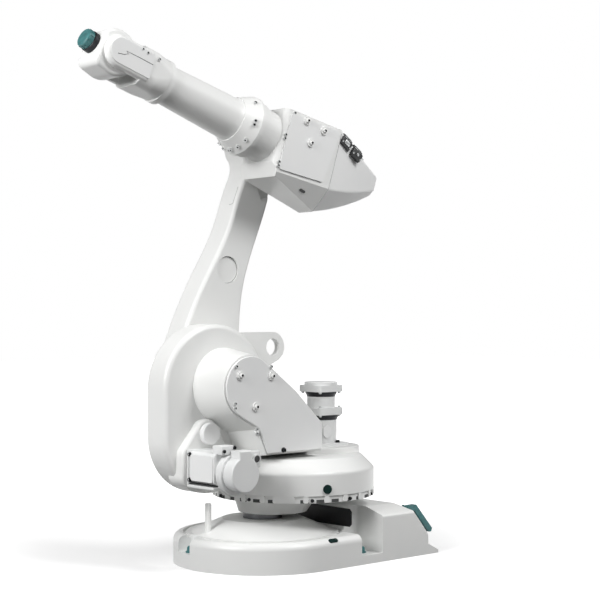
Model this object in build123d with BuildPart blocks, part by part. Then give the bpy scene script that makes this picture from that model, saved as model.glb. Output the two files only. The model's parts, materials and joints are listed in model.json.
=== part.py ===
"""Six-axis industrial robot arm, floor standing, in millimetres.

X points forward, Y to the robot's left and Z up. The origin is on the first axis, on the floor.
"""
import os
from math import cos, radians, sin, tan

from build123d import *

os.makedirs("parts", exist_ok=True)

# Axes and links
axis2_forward = 150.0
axis2_height = 486.5
lower_arm_length = 700.0
upper_arm_length = 600.0
flange_reach = 65.0
rest_lean = 17.2
forearm_raise = 0.6
wrist_tilt = 7.4

# Clearances
bearing_gap = 0.3
swing_gap = 5.0
pin_gap = 0.2
touch = 0.01

# Foot
foot_half_width = 246.0
foot_rear = 449.0
foot_wall_height = 82.0
foot_rim_radius = 20.0
rim_width = 26.0
channel_depth = 6.0
channel_width = 10.0
dome_radius = 112.0
dome_height = 118.0
bearing_radius = 54.0
bearing_height = 16.0
box_front = 178.0
box_height = 145.0
box_crown_width = 66.0
box_crown_fall = 19.0
box_edge_radius = 8.0
box_slope_run = 71.0
box_slope_fall = 83.0
foot_flare = 41.0
foot_lip = 9.0
foot_flare_height = 30.0
lug_thickness = 24.0
front_lug_thickness = 40.0
lug_hole_radius = 9.0
rear_lug_place = 185.0
rear_lug_length = 80.0
rear_lug_inset = 96.0
rear_lug_hole_inset = 46.0
front_lug_angle = -10.0
front_lug_width = 66.0
front_lug_depth = 48.0
notch_corner = 10.0
pin_radius = 9.0
pin_inset = 74.7
pin_angle = -9.4
pin_length = 94.0
pin_seat_depth = 8.0
pin_chamfer = 2.0
plug_length = 32.0
plug_width = 12.0
plug_depth = 4.0
plug_rise = 1.5
plug_behind = 43.0
plug_slope = 45.0

# Connector cover on the foot
cover_top_depth = 56.0
cover_low_depth = 42.0
cover_top_drop = 5.0
cover_side_margin = 24.0
cover_corner = 8.0

# Turntable
skirt_back = 38.0
skirt_radius = 96.0
skirt_top_radius = 116.0
skirt_top_back = 46.0
rim_clearance = 29.0
rim_thickness = 19.0
rim_radius = 224.0
pot_back = 114.0
pot_radius = 228.0
pot_band_height = 59.0
pot_cone_height = 36.0
pot_top_radius = 192.0
pot_edge_radius = 12.0
skirt_edge = 2.0
pot_plug_radius = 12.0
pot_plug_rise = 4.0
pot_plug_angle = 72.0
pot_plug_lift = 18.0
pot_plug_depth = 6.0
motor1_back = 221.0
pedestal_radius = 110.0
pedestal_rise = 17.0
pedestal_edge = 5.0

# Side wall of the turntable frame and its lifting lug, from the second axis and the pot
wall_near = 14.0
wall_thickness = 86.0
wall_edge = 14.0
wall_top_ahead = 22.0
wall_top_drop = 6.5
wall_top_radius = 173.0
wall_low_ahead = 40.0
wall_low_lift = 162.0
wall_low_radius = 155.0
eye_behind = 188.0
eye_rise = 101.5
eye_radius = 42.0
eye_hole_radius = 24.0
eye_root_behind = 90.0
eye_root_rise = 81.5
eye_root_radius = 62.0
eye_thickness = 20.0

# Shoulder housing and its flat cover, from the second axis
housing_depth = 110.0
housing_taper = 9.0
cover_plate = 6.0
cover_inset = 4.0
cover_bevel = 1.5
hub_face_radius = 86.0
hub_slope_angle = 132.0
hub_low_angle = -62.0
housing_bulge = 8.0
housing_motor_gap = 53.0
housing_bend_rise = 75.0
housing_gap = 17.0
housing_bottom_back = 58.0
housing_waist_depth = 24.0
cap_angle = -59.6
cap_clearance = 9.7
cap_radius = 29.0
cap_depth = 16.0
cap_edge = 3.0

# Motor of the first axis, stacked on the pedestal
motor1_radius = 45.0
motor1_foot_half = 58.0
motor1_foot_height = 8.0
motor1_body_height = 79.0
motor1_block_height = 20.0
motor1_block_half = 47.0
motor1_block_corner = 12.0
motor1_neck_radius = 40.0
motor1_neck_height = 46.0
motor1_plate_height = 18.0
motor1_cap_height = 10.0
motor1_cap_radius = 47.5
motor1_cap_bevel = 2.0

# Motor of the second axis, from that axis
motor2_ahead = 80.0
motor2_drop = 218.5
motor2_box_half_length = 60.0
motor2_box_below = 28.0
motor2_box_above = 54.0
motor2_box_corner = 14.0
motor2_box_depth = 110.0
motor2_ring_radius = 55.0
motor2_ring_depth = 20.0
motor2_ring_bevel = 2.5
motor2_cap_radius = 46.0
motor2_cap_depth = 35.0
motor2_cap_edge = 4.0
motor2_neck_half = 20.0
motor2_neck_height = 62.0
motor2_boss_margin = 18.0
motor2_boss_corner = 34.0
motor2_boss_depth = 26.0
motor2_boss_root = 34.0
motor2_boss_edge = 8.0

# Lower arm, measured from the second axis and back from the third
hub_thickness = 8.0
hub2_radius = 98.0
arm_thickness = 82.0
arm_low_radius = 107.0
arm_top_radius = 72.0
arm_waist_along = 300.0
arm_waist_forward = 70.0
arm_waist_back = 65.0
arm_middle_below = 250.0
arm_middle_forward = 38.0
arm_middle_back = 70.0
arm_neck_below = 125.0
arm_neck_forward = 30.0
arm_neck_back = 78.0
arm_throat_below = 68.0
arm_throat_forward = 30.0
arm_edge = 11.0
elbow_fold = 234.4
fold_step = 12.0
fold_steps = 3
arm_pad_along = 330.0
arm_pad_forward = 7.0
arm_pad_radius = 38.0
arm_pad_recess = 8.0
arm_pad_thickness = 3.0
arm_pad_side_gap = 1.5
end_cover_thickness = 9.0
low_end_cover_radius = 88.0
top_end_cover_radius = 58.0
end_cover_edge = 2.5

# Elbow housing, measured along the forearm from the third axis and square to it
hub3_length = 5.0
hub3_radius = 58.0
elbow_front = 57.0
elbow_back = 155.0
elbow_front_top = 80.0
elbow_back_top = 100.0
elbow_front_low = 78.0
elbow_chin_along = 36.0
elbow_chin_low = 114.0
elbow_back_low = 143.0
elbow_side_front_low = 105.0
elbow_side_back_low = 79.0
elbow_keel_half = 30.0
elbow_front_edge = 16.0
neck_radius = 74.0
neck_length = 48.0
rear_front_corner = 10.0
rear_middle_along = 107.0
rear_middle_half_width = 62.0
rear_middle_top = 66.0
rear_middle_side_low = -46.0
rear_middle_keel_half = 26.0
rear_middle_low = -88.0
rear_middle_corner = 14.0
rear_end_along = 207.0
rear_end_half_width = 36.0
rear_end_top = 44.0
rear_end_side_low = 2.0
rear_end_keel_half = 20.0
rear_end_low = -16.0
rear_end_corner = 9.0
rear_edge = 6.0
side_cover_thickness = 4.0
side_cover_front_margin = 2.0
side_cover_margin = 9.0
side_cover_rear_lean = 20.0
side_cover_corner = 9.0
socket_setback = 83.0
socket_rise = 79.0
socket_side = 14.0
socket_slope = 18.3
socket_pad_depth = 30.0
socket_plate_length = 106.0
socket_plate_width = 60.0
socket_plate_thickness = 4.0
socket_plate_corner = 5.0
connector_length = 42.0
connector_width = 36.0
connector_height = 22.0
connector_spacing = 50.0
connector_bevel = 3.0

# Forearm from the neck outward, and the wrist measured back from the fifth axis
ring_band_length = 24.0
ring_lip = 6.0
ring_lip_length = 8.0
ring_length = 78.0
ring_radius = 80.0
ring_front_radius = 64.0
tube_flare_radius = 62.0
tube_flare_length = 30.0
tube_flare_slope = 0.3
tube_radius = 58.5
tube_end_radius = 52.0
collar_back = 176.0
collar_length = 16.0
collar_radius = 61.0
fork_blend_length = 42.0
fork_clearance = 15.0
fork_half_width = 62.0
fork_half_height = 55.0
fork_round_corner = 52.0
fork_corner = 34.0
cheek_half_height = 42.0
cheek_inner = 44.0
cheek_root = 20.0
cheek_edge = 9.0
cheek_cover_thickness = 2.0
cheek_cover_inset = 9.0
cheek_cover_back = 96.0
drum_radius = 61.0
head_top_along = 36.0
head_top_rise = 30.0
head_low_along = 32.0
head_low_drop = 41.0
drum_edge = 9.0
disc_thickness = 14.7
disc_radius = 28.0
disc_bevel = 1.5
cap_shell_radius = 25.0
cap_shell_depth = 18.0
cap_shell_edge = 5.0

# Heights that stack up from the floor
turntable_bottom = dome_height + bearing_height
rim_bottom = box_height + rim_clearance
pot_bottom = rim_bottom + rim_thickness
pot_band_top = pot_bottom + pot_band_height
pot_top = pot_band_top + pot_cone_height
pedestal_top = pot_top + pedestal_rise
housing_bottom = pot_top + housing_gap
motor1_body_bottom = pedestal_top + motor1_foot_height
motor1_block_bottom = motor1_body_bottom + motor1_body_height
motor1_neck_bottom = motor1_block_bottom + motor1_block_height
motor1_plate_bottom = motor1_neck_bottom + motor1_neck_height
motor1_cap_bottom = motor1_plate_bottom + motor1_plate_height

# Depths that follow each other across the robot
wall_far = wall_near - wall_thickness
housing_face = wall_near + housing_depth
boss_face = wall_near + motor2_boss_depth
motor2_ring_face = boss_face + motor2_box_depth
motor2_cap_face = motor2_ring_face + motor2_ring_depth
arm_inner = wall_far - hub_thickness
arm_outer = arm_inner - arm_thickness
elbow_half_width = -arm_inner - hub3_length

# Stations along the forearm
neck_end = elbow_front + neck_length
tube_start = neck_end + ring_length
collar_start = upper_arm_length - collar_back
fork_start = collar_start + collar_length
fork_root_end = upper_arm_length - drum_radius - fork_clearance
head_end = flange_reach - disc_thickness - bearing_gap
rear_middle = -elbow_back - rear_middle_along
rear_end = -elbow_back - rear_end_along
socket_along = -elbow_back - socket_setback

# Directions and centres at rest
lean = radians(rest_lean)
pitch = radians(rest_lean + forearm_raise)
tilt = radians(rest_lean + forearm_raise + wrist_tilt)
shoulder = Vector(axis2_forward, 0, axis2_height)
arm_up = Vector(-sin(lean), 0, cos(lean))
elbow = shoulder + arm_up * lower_arm_length
forearm_out = Vector(cos(pitch), 0, sin(pitch))
elbow_up = Vector(-sin(pitch), 0, cos(pitch))
wrist = elbow + forearm_out * upper_arm_length
tool_out = Vector(cos(tilt), 0, sin(tilt))
to_left = Vector(0, 1, 0)
slope = radians(socket_slope)
socket_down = -forearm_out * cos(slope) - elbow_up * sin(slope)
socket_up = elbow_up * cos(slope) - forearm_out * sin(slope)


def side_plane(y):
    """Upright plane at y that faces the robot's left, drawn in X and Z and extruded to -Y."""
    return Plane.XZ.offset(-y)


def arm_plane(y):
    """Plane of the lower arm at y, drawn along the arm and forward, extruded to +Y."""
    return Plane(origin=shoulder + to_left * y, x_dir=arm_up, z_dir=to_left)


def elbow_plane(y):
    """Plane of the elbow at y, drawn along the forearm and upward, extruded to -Y."""
    return Plane(origin=elbow + to_left * y, x_dir=forearm_out, z_dir=-to_left)


def forearm_plane(along):
    """Plane square to the forearm, drawn to the left and upward, extruded outward."""
    return Plane(origin=elbow + forearm_out * along, x_dir=to_left, z_dir=forearm_out)


def wrist_plane(y):
    """Plane of the tilting wrist at y, drawn along the tool axis and upward, extruded to -Y."""
    return Plane(origin=wrist + to_left * y, x_dir=tool_out, z_dir=-to_left)


def tool_plane(along):
    """Plane square to the tool axis, drawn to the left and upward, extruded outward."""
    return Plane(origin=wrist + tool_out * along, x_dir=to_left, z_dir=tool_out)


def socket_plane(lift):
    """Plane of the connector plate on the rear cover, drawn down the slope and to the side."""
    seat = elbow + forearm_out * socket_along + elbow_up * socket_rise + to_left * socket_side
    return Plane(origin=seat + socket_up * lift, x_dir=socket_down, z_dir=socket_up)


def elbow_point(along, up, y):
    """Place in space of a point along the forearm, square to it and across."""
    return elbow + forearm_out * along + elbow_up * up + to_left * y


def save(builder, name):
    """Label a finished piece and write it as its own file."""
    builder.part.label = name
    export_step(builder.part, f"parts/{name}.step")


def housing_shape(grow):
    """Outline of the shoulder housing's flat face, grown or shrunk all round."""
    slope_turn = radians(hub_slope_angle)
    low_turn = radians(hub_low_angle)
    rear = -(motor1_back - motor1_foot_half - housing_motor_gap)
    hub = Vector(axis2_forward, axis2_height)
    top = hub + Vector(cos(slope_turn), sin(slope_turn)) * hub_face_radius
    low = hub + Vector(cos(low_turn), sin(low_turn)) * hub_face_radius
    bend = Vector(rear, housing_bottom + housing_bend_rise)
    chord = (top - bend).normalized()
    brow = (top + bend) / 2 + Vector(-chord.Y, chord.X) * housing_bulge
    foot_front = Vector(axis2_forward - housing_bottom_back, housing_bottom)
    shin = (foot_front - low).normalized()
    waist = (low + foot_front) / 2 + Vector(shin.Y, -shin.X) * housing_waist_depth
    nose = Vector(axis2_forward + hub_face_radius, axis2_height)
    with BuildSketch(mode=Mode.PRIVATE) as outline:
        with BuildLine():
            Polyline(top, brow, bend, Vector(rear, housing_bottom), foot_front, waist, low)
            ThreePointArc(low, nose, top)
        make_face()
        if grow:
            offset(amount=grow, kind=Kind.INTERSECTION)
    return outline.sketch


def rear_section(half_width, top, side_low, keel_half, low, corner):
    """Rounded section of the rear cover with a narrow keel, drawn to the left and upward."""
    with BuildSketch(mode=Mode.PRIVATE) as section:
        with BuildLine():
            Polyline(
                (half_width, top),
                (half_width, side_low),
                (keel_half, low),
                (-keel_half, low),
                (-half_width, side_low),
                (-half_width, top),
                close=True,
            )
        make_face()
        fillet(section.vertices(), corner)
    return section.sketch


# Foot: round front, straight sides and a box at the rear, with three notched bolt lugs
box_slope_end = foot_rear - foot_flare
box_slope_top = box_slope_end - box_slope_run
box_slope_low = box_height - box_slope_fall
pin_place = foot_half_width - pin_inset
pin_bottom = foot_wall_height - pin_seat_depth
rim_turn = radians(plug_slope)
plug_out = Vector(0, cos(rim_turn), sin(rim_turn))
rim_centre = Vector(-plug_behind, foot_half_width - foot_rim_radius, foot_wall_height - foot_rim_radius)
rim_seat = rim_centre + plug_out * (foot_rim_radius - plug_depth)
rim_plane = Plane(origin=rim_seat, x_dir=(1, 0, 0), z_dir=plug_out)
with BuildPart() as foot:
    with BuildSketch():
        with BuildLine():
            Line((-box_slope_top, foot_half_width), (0, foot_half_width))
            ThreePointArc((0, foot_half_width), (foot_half_width, 0), (0, -foot_half_width))
            Line((0, -foot_half_width), (-box_slope_top, -foot_half_width))
            Line((-box_slope_top, -foot_half_width), (-box_slope_top, foot_half_width))
        make_face()
    extrude(amount=foot_wall_height)
    rim = foot.faces().sort_by(Axis.Z)[-1].edges()
    fillet(rim.filter_by(lambda e: e.center().X > touch - box_slope_top), foot_rim_radius)
    channel_outer = foot_half_width - rim_width
    with BuildSketch(side_plane(0)):
        with BuildLine():
            Polyline(
                (0, foot_wall_height - channel_depth),
                (channel_outer - channel_width, foot_wall_height - channel_depth),
                (dome_radius, dome_height),
                (0, dome_height),
                close=True,
            )
        make_face()
    revolve(axis=Axis.Z)
    with BuildSketch(side_plane(0)):
        with Locations((channel_outer - channel_width / 2, foot_wall_height)):
            Rectangle(channel_width, 2 * channel_depth)
    revolve(axis=Axis.Z, mode=Mode.SUBTRACT)
    with BuildSketch(side_plane(foot_half_width)):
        with BuildLine():
            Polyline(
                (-box_front, 0),
                (-foot_rear, 0),
                (-foot_rear, foot_lip),
                (-box_slope_end, foot_flare_height),
                (-box_slope_end, box_slope_low),
                (-box_slope_top, box_height),
                (-box_front, box_height),
                close=True,
            )
        make_face()
    extrude(amount=2 * foot_half_width)
    for side in (1, -1):
        shoulder_edge = Vector(0, side * foot_half_width, box_height - box_crown_fall)
        crown_out = Vector(0, side * box_crown_fall, box_crown_width)
        split(bisect_by=Plane(origin=shoulder_edge, z_dir=crown_out), keep=Keep.BOTTOM)
    side_edges = foot.edges().filter_by(lambda e: abs(abs(e.center().Y) - foot_half_width) < touch)
    fillet(side_edges.filter_by(lambda e: e.center().Z > foot_wall_height), box_edge_radius)
    lug_y = foot_half_width - rear_lug_inset / 2
    with BuildSketch(Plane.XY.offset(lug_thickness)):
        with Locations((-rear_lug_place, lug_y), (-rear_lug_place, -lug_y)):
            RectangleRounded(rear_lug_length, rear_lug_inset + 2 * notch_corner, notch_corner)
    extrude(amount=box_height, mode=Mode.SUBTRACT)
    with BuildSketch(Plane.XY.offset(front_lug_thickness)):
        with Locations(Rotation(0, 0, front_lug_angle)):
            with Locations((foot_half_width, 0)):
                RectangleRounded(2 * front_lug_depth, front_lug_width, notch_corner)
    extrude(amount=foot_wall_height, mode=Mode.SUBTRACT)
    lug_hole_y = foot_half_width - rear_lug_hole_inset
    with BuildSketch():
        with Locations((-rear_lug_place, lug_hole_y), (-rear_lug_place, -lug_hole_y)):
            Circle(lug_hole_radius)
        with Locations(Rotation(0, 0, front_lug_angle)):
            with Locations((foot_half_width - front_lug_depth / 2, 0)):
                Circle(lug_hole_radius)
    extrude(amount=front_lug_thickness, mode=Mode.SUBTRACT)
    with BuildSketch(Plane.XY.offset(pin_bottom)):
        with Locations(Rotation(0, 0, pin_angle)):
            with Locations((pin_place, 0)):
                Circle(pin_radius + pin_gap)
    extrude(amount=pin_length, mode=Mode.SUBTRACT)
    with BuildSketch(rim_plane):
        SlotOverall(plug_length + 2 * pin_gap, plug_width + 2 * pin_gap)
    extrude(amount=foot_rim_radius, mode=Mode.SUBTRACT)
save(foot, "foot_casting")

with BuildPart() as foot_bearing:
    with BuildSketch(Plane.XY.offset(dome_height)):
        Circle(bearing_radius)
    extrude(amount=bearing_height - bearing_gap)
save(foot_bearing, "foot_bearing")

with BuildPart() as stop_pin:
    with BuildSketch(Plane.XY.offset(pin_bottom)):
        with Locations(Rotation(0, 0, pin_angle)):
            with Locations((pin_place, 0)):
                Circle(pin_radius)
    extrude(amount=pin_length)
    chamfer(stop_pin.edges().group_by(Axis.Z)[-1], pin_chamfer)
save(stop_pin, "stop_pin")

with BuildPart() as rim_plug:
    with BuildSketch(rim_plane):
        SlotOverall(plug_length, plug_width)
    extrude(amount=plug_depth + plug_rise)
save(rim_plug, "rim_plug")

# Protective hood over the connectors on the sloped rear of the foot
hood_top = box_height - cover_top_drop
hood_start = box_slope_top + cover_top_drop * box_slope_run / box_slope_fall
cover_half_width = foot_half_width - cover_side_margin
with BuildPart() as connector_cover:
    with BuildSketch(side_plane(cover_half_width)):
        with BuildLine():
            Polyline(
                (-hood_start, hood_top),
                (-box_slope_end, box_slope_low),
                (-box_slope_end - cover_low_depth, box_slope_low),
                (-hood_start - cover_top_depth, hood_top),
                close=True,
            )
        make_face()
    extrude(amount=2 * cover_half_width)
    hood_back = connector_cover.faces().sort_by(Axis((0, 0, 0), (-box_slope_fall, 0, box_slope_run)))[-1]
    fillet(hood_back.edges(), cover_corner)
save(connector_cover, "connector_cover")

# Turntable skirt and bolted rim under the gearbox pot
with BuildPart() as turntable_skirt:
    with BuildSketch(Plane.XY.offset(turntable_bottom)):
        with Locations((-skirt_back, 0)):
            Circle(skirt_radius)
    with BuildSketch(Plane.XY.offset(rim_bottom)):
        with Locations((-skirt_top_back, 0)):
            Circle(skirt_top_radius)
    loft()
    with BuildSketch(Plane.XY.offset(rim_bottom)):
        with Locations((-pot_back, 0)):
            Circle(rim_radius)
    extrude(amount=rim_thickness)
    fillet(turntable_skirt.edges().group_by(Axis.Z)[-1], skirt_edge)
save(turntable_skirt, "turntable_skirt")

# Turntable frame: side wall, shoulder housing, gearbox pot and motor pedestal in one casting
plug_turn = radians(pot_plug_angle)
sight_out = Vector(cos(plug_turn), sin(plug_turn), 0)
sight_seat = Vector(-pot_back, 0, pot_bottom + pot_plug_lift) + sight_out * (pot_radius - pot_plug_depth)
sight_plane = Plane(origin=sight_seat, z_dir=sight_out)
wall_top = (axis2_forward + wall_top_ahead, axis2_height - wall_top_drop)
wall_low = (axis2_forward + wall_low_ahead, pot_bottom + wall_low_lift)
cap_turn = radians(cap_angle)
cap_away = hub_face_radius + housing_depth * tan(radians(housing_taper)) + cap_clearance + cap_radius
cap_place = (axis2_forward + cap_away * cos(cap_turn), axis2_height + cap_away * sin(cap_turn))
motor2_forward = axis2_forward + motor2_ahead
motor2_height = axis2_height - motor2_drop
box_place = (motor2_forward, motor2_height + (motor2_box_above - motor2_box_below) / 2)
box_drawn_length = 2 * motor2_box_half_length
box_drawn_height = motor2_box_above + motor2_box_below
with BuildPart() as frame:
    with BuildSketch(side_plane(wall_near)):
        with Locations(wall_top):
            Circle(wall_top_radius)
        with Locations(wall_low):
            Circle(wall_low_radius)
        make_hull()
    extrude(amount=wall_thickness)
    fillet(frame.faces().filter_by(Axis.Y).edges(), wall_edge)
    with BuildSketch(side_plane(boss_face)):
        with Locations(box_place):
            RectangleRounded(
                box_drawn_length + 2 * motor2_boss_margin,
                box_drawn_height + 2 * motor2_boss_margin,
                motor2_boss_corner,
            )
        with Locations(cap_place):
            Circle(cap_radius + motor2_boss_edge)
        make_hull()
    extrude(amount=motor2_boss_depth + motor2_boss_root)
    boss_front = frame.faces().filter_by(lambda f: abs(f.center().Y - boss_face) < touch)
    fillet(boss_front.edges(), motor2_boss_edge)
    with BuildSketch(side_plane(0)) as pot_profile:
        with BuildLine():
            Polyline(
                (-pot_back, pot_bottom),
                (pot_radius - pot_back, pot_bottom),
                (pot_radius - pot_back, pot_band_top),
                (pot_top_radius - pot_back, pot_top),
                (-pot_back, pot_top),
                close=True,
            )
        make_face()
        pot_corners = pot_profile.vertices().filter_by(lambda v: v.X > touch - pot_back)
        fillet(pot_corners.filter_by(lambda v: v.Y > pot_bottom + touch), pot_edge_radius)
    revolve(axis=Axis((-pot_back, 0, 0), (0, 0, 1)))
    with BuildSketch(Plane.XY.offset(pot_bottom)):
        with Locations((-motor1_back, 0)):
            Circle(pedestal_radius)
    extrude(amount=pedestal_top - pot_bottom)
    pedestal_rim = frame.edges().filter_by(GeomType.CIRCLE)
    fillet(pedestal_rim.filter_by(lambda e: abs(e.center().Z - pedestal_top) < touch), pedestal_edge)
    with BuildSketch(side_plane(wall_near)):
        add(housing_shape(housing_depth * tan(radians(housing_taper))))
    with BuildSketch(side_plane(housing_face)):
        add(housing_shape(0))
    loft(ruled=True)
    with BuildSketch(sight_plane):
        Circle(pot_plug_radius + pin_gap)
    extrude(amount=pot_radius, mode=Mode.SUBTRACT)
save(frame, "turntable_frame")

# Lifting lug behind the shoulder, set against the round edge of the side wall
eye_near = wall_near - wall_edge
with BuildPart() as lifting_lug:
    with BuildSketch(side_plane(eye_near)):
        with Locations((axis2_forward - eye_behind, axis2_height + eye_rise)):
            Circle(eye_radius)
        with Locations((axis2_forward - eye_root_behind, axis2_height + eye_root_rise)):
            Circle(eye_root_radius)
        make_hull()
        with Locations((axis2_forward - eye_behind, axis2_height + eye_rise)):
            Circle(eye_hole_radius, mode=Mode.SUBTRACT)
        with Locations(wall_top):
            Circle(wall_top_radius, mode=Mode.SUBTRACT)
    extrude(amount=eye_thickness)
save(lifting_lug, "lifting_lug")

with BuildPart() as shoulder_cover:
    with BuildSketch(side_plane(housing_face)):
        add(housing_shape(-cover_inset))
    extrude(amount=-cover_plate)
    chamfer(shoulder_cover.faces().sort_by(Axis.Y)[-1].edges(), cover_bevel)
save(shoulder_cover, "shoulder_cover")

# Round cap on the motor's boss, clear of the root of the housing
with BuildPart() as wall_cap:
    with BuildSketch(side_plane(boss_face)):
        with Locations(cap_place):
            Circle(cap_radius)
    extrude(amount=-cap_depth)
    fillet(wall_cap.edges().sort_by(Axis.Y)[-1], cap_edge)
save(wall_cap, "wall_cap")

# Sight plug in the band of the gearbox pot
with BuildPart() as pot_plug:
    with BuildSketch(sight_plane):
        Circle(pot_plug_radius)
    extrude(amount=pot_plug_depth + pot_plug_rise)
save(pot_plug, "pot_plug")

# Upright motor of the first axis
with BuildPart() as motor1_body:
    with BuildSketch(Plane.XY.offset(pedestal_top)):
        with Locations((-motor1_back, 0)):
            RectangleRounded(2 * motor1_foot_half, 2 * motor1_foot_half, motor1_block_corner)
    extrude(amount=motor1_foot_height)
    with BuildSketch(Plane.XY.offset(motor1_body_bottom)):
        with Locations((-motor1_back, 0)):
            Circle(motor1_radius)
    extrude(amount=motor1_body_height)
save(motor1_body, "motor1_body")

with BuildPart() as motor1_brake:
    with BuildSketch(Plane.XY.offset(motor1_block_bottom)):
        with Locations((-motor1_back, 0)):
            RectangleRounded(2 * motor1_block_half, 2 * motor1_block_half, motor1_block_corner)
    extrude(amount=motor1_block_height)
    with BuildSketch(Plane.XY.offset(motor1_neck_bottom)):
        with Locations((-motor1_back, 0)):
            Circle(motor1_neck_radius)
    extrude(amount=motor1_neck_height)
save(motor1_brake, "motor1_brake")

with BuildPart() as motor1_cap:
    with BuildSketch(Plane.XY.offset(motor1_plate_bottom)):
        with Locations((-motor1_back, 0)):
            RectangleRounded(2 * motor1_block_half, 2 * motor1_block_half, motor1_block_corner)
    extrude(amount=motor1_plate_height)
    with BuildSketch(Plane.XY.offset(motor1_cap_bottom)):
        with Locations((-motor1_back, 0)):
            Circle(motor1_cap_radius)
    extrude(amount=motor1_cap_height)
    chamfer(motor1_cap.edges().group_by(Axis.Z)[-1], motor1_cap_bevel)
save(motor1_cap, "motor1_cap")

# Lying motor of the second axis, on its boss on the side wall
with BuildPart() as motor2_box:
    with BuildSketch(side_plane(boss_face)):
        with Locations(box_place):
            RectangleRounded(box_drawn_length, box_drawn_height, motor2_box_corner)
    extrude(amount=-motor2_box_depth)
save(motor2_box, "motor2_box")

with BuildPart() as motor2_ring:
    with BuildSketch(side_plane(motor2_ring_face)):
        with Locations((motor2_forward, motor2_height)):
            Circle(motor2_ring_radius)
    extrude(amount=-motor2_ring_depth)
    chamfer(motor2_ring.edges().sort_by(Axis.Y)[-1], motor2_ring_bevel)
save(motor2_ring, "motor2_ring")

with BuildPart() as motor2_cap:
    with BuildSketch(side_plane(motor2_cap_face)):
        with Locations((motor2_forward, motor2_height)):
            Circle(motor2_cap_radius)
        with Locations((motor2_forward, motor2_height + motor2_neck_height / 2)):
            Rectangle(2 * motor2_neck_half, motor2_neck_height)
    extrude(amount=-motor2_cap_depth)
    fillet(motor2_cap.faces().sort_by(Axis.Y)[-1].edges(), motor2_cap_edge)
save(motor2_cap, "motor2_cap")

# Lower arm, bowed between the second and the third axis
arm_middle_along = lower_arm_length - arm_middle_below
arm_neck_along = lower_arm_length - arm_neck_below
arm_throat_along = lower_arm_length - arm_throat_below
scoop_radius = ring_radius + ring_lip + swing_gap
with BuildPart() as shoulder_hub:
    with BuildSketch(arm_plane(arm_inner)):
        Circle(hub2_radius)
    extrude(amount=hub_thickness - bearing_gap)
save(shoulder_hub, "shoulder_hub")

with BuildPart() as lower_arm:
    with BuildSketch(arm_plane(arm_inner)):
        with BuildLine():
            Spline(
                (0, arm_low_radius),
                (arm_waist_along, arm_waist_forward),
                (arm_middle_along, arm_middle_forward),
                (arm_neck_along, arm_neck_forward),
                (arm_throat_along, arm_throat_forward),
                (lower_arm_length, arm_top_radius),
                tangents=[(1, 0), (1, 0)],
            )
            ThreePointArc(
                (lower_arm_length, arm_top_radius),
                (lower_arm_length + arm_top_radius, 0),
                (lower_arm_length, -arm_top_radius),
            )
            Spline(
                (lower_arm_length, -arm_top_radius),
                (arm_neck_along, -arm_neck_back),
                (arm_middle_along, -arm_middle_back),
                (arm_waist_along, -arm_waist_back),
                (0, -arm_low_radius),
                tangents=[(-1, 0), (-1, 0)],
            )
            ThreePointArc((0, -arm_low_radius), (-arm_low_radius, 0), (0, arm_low_radius))
        make_face()
    extrude(amount=-arm_thickness)
    fillet(lower_arm.faces().filter_by(Axis.Y).edges(), arm_edge)
    with BuildSketch(arm_plane(arm_inner)):
        with Locations((arm_pad_along, arm_pad_forward)):
            Circle(arm_pad_radius)
    extrude(amount=-arm_pad_recess, mode=Mode.SUBTRACT)
    # Hollow in the rear edge that the forearm ring swings into when the elbow folds back
    for step in range(fold_steps):
        fold = pitch + radians(elbow_fold - step * fold_step)
        folded_out = Vector(cos(fold), 0, sin(fold))
        with BuildSketch(Plane(origin=elbow, x_dir=folded_out, z_dir=to_left)):
            with BuildLine():
                Polyline(
                    (neck_end - swing_gap, 0),
                    (neck_end - swing_gap, scoop_radius),
                    (neck_end + ring_band_length + ring_lip_length + swing_gap, scoop_radius),
                    (tube_start + swing_gap, ring_front_radius + swing_gap),
                    (tube_start + swing_gap, 0),
                    close=True,
                )
            make_face()
        revolve(axis=Axis(elbow, folded_out), mode=Mode.SUBTRACT)
save(lower_arm, "lower_arm")

with BuildPart() as arm_pad:
    with BuildSketch(arm_plane(arm_inner - arm_pad_recess)):
        with Locations((arm_pad_along, arm_pad_forward)):
            Circle(arm_pad_radius - arm_pad_side_gap)
    extrude(amount=arm_pad_thickness)
save(arm_pad, "arm_pad")

for cover_name, cover_along, cover_radius in (
    ("shoulder_end_cover", 0.0, low_end_cover_radius),
    ("elbow_end_cover", lower_arm_length, top_end_cover_radius),
):
    with BuildPart() as end_cover:
        with BuildSketch(arm_plane(arm_outer)):
            with Locations((cover_along, 0)):
                Circle(cover_radius)
        extrude(amount=-end_cover_thickness)
        chamfer(end_cover.edges().sort_by(Axis.Y)[0], end_cover_edge)
    save(end_cover, cover_name)

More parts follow.
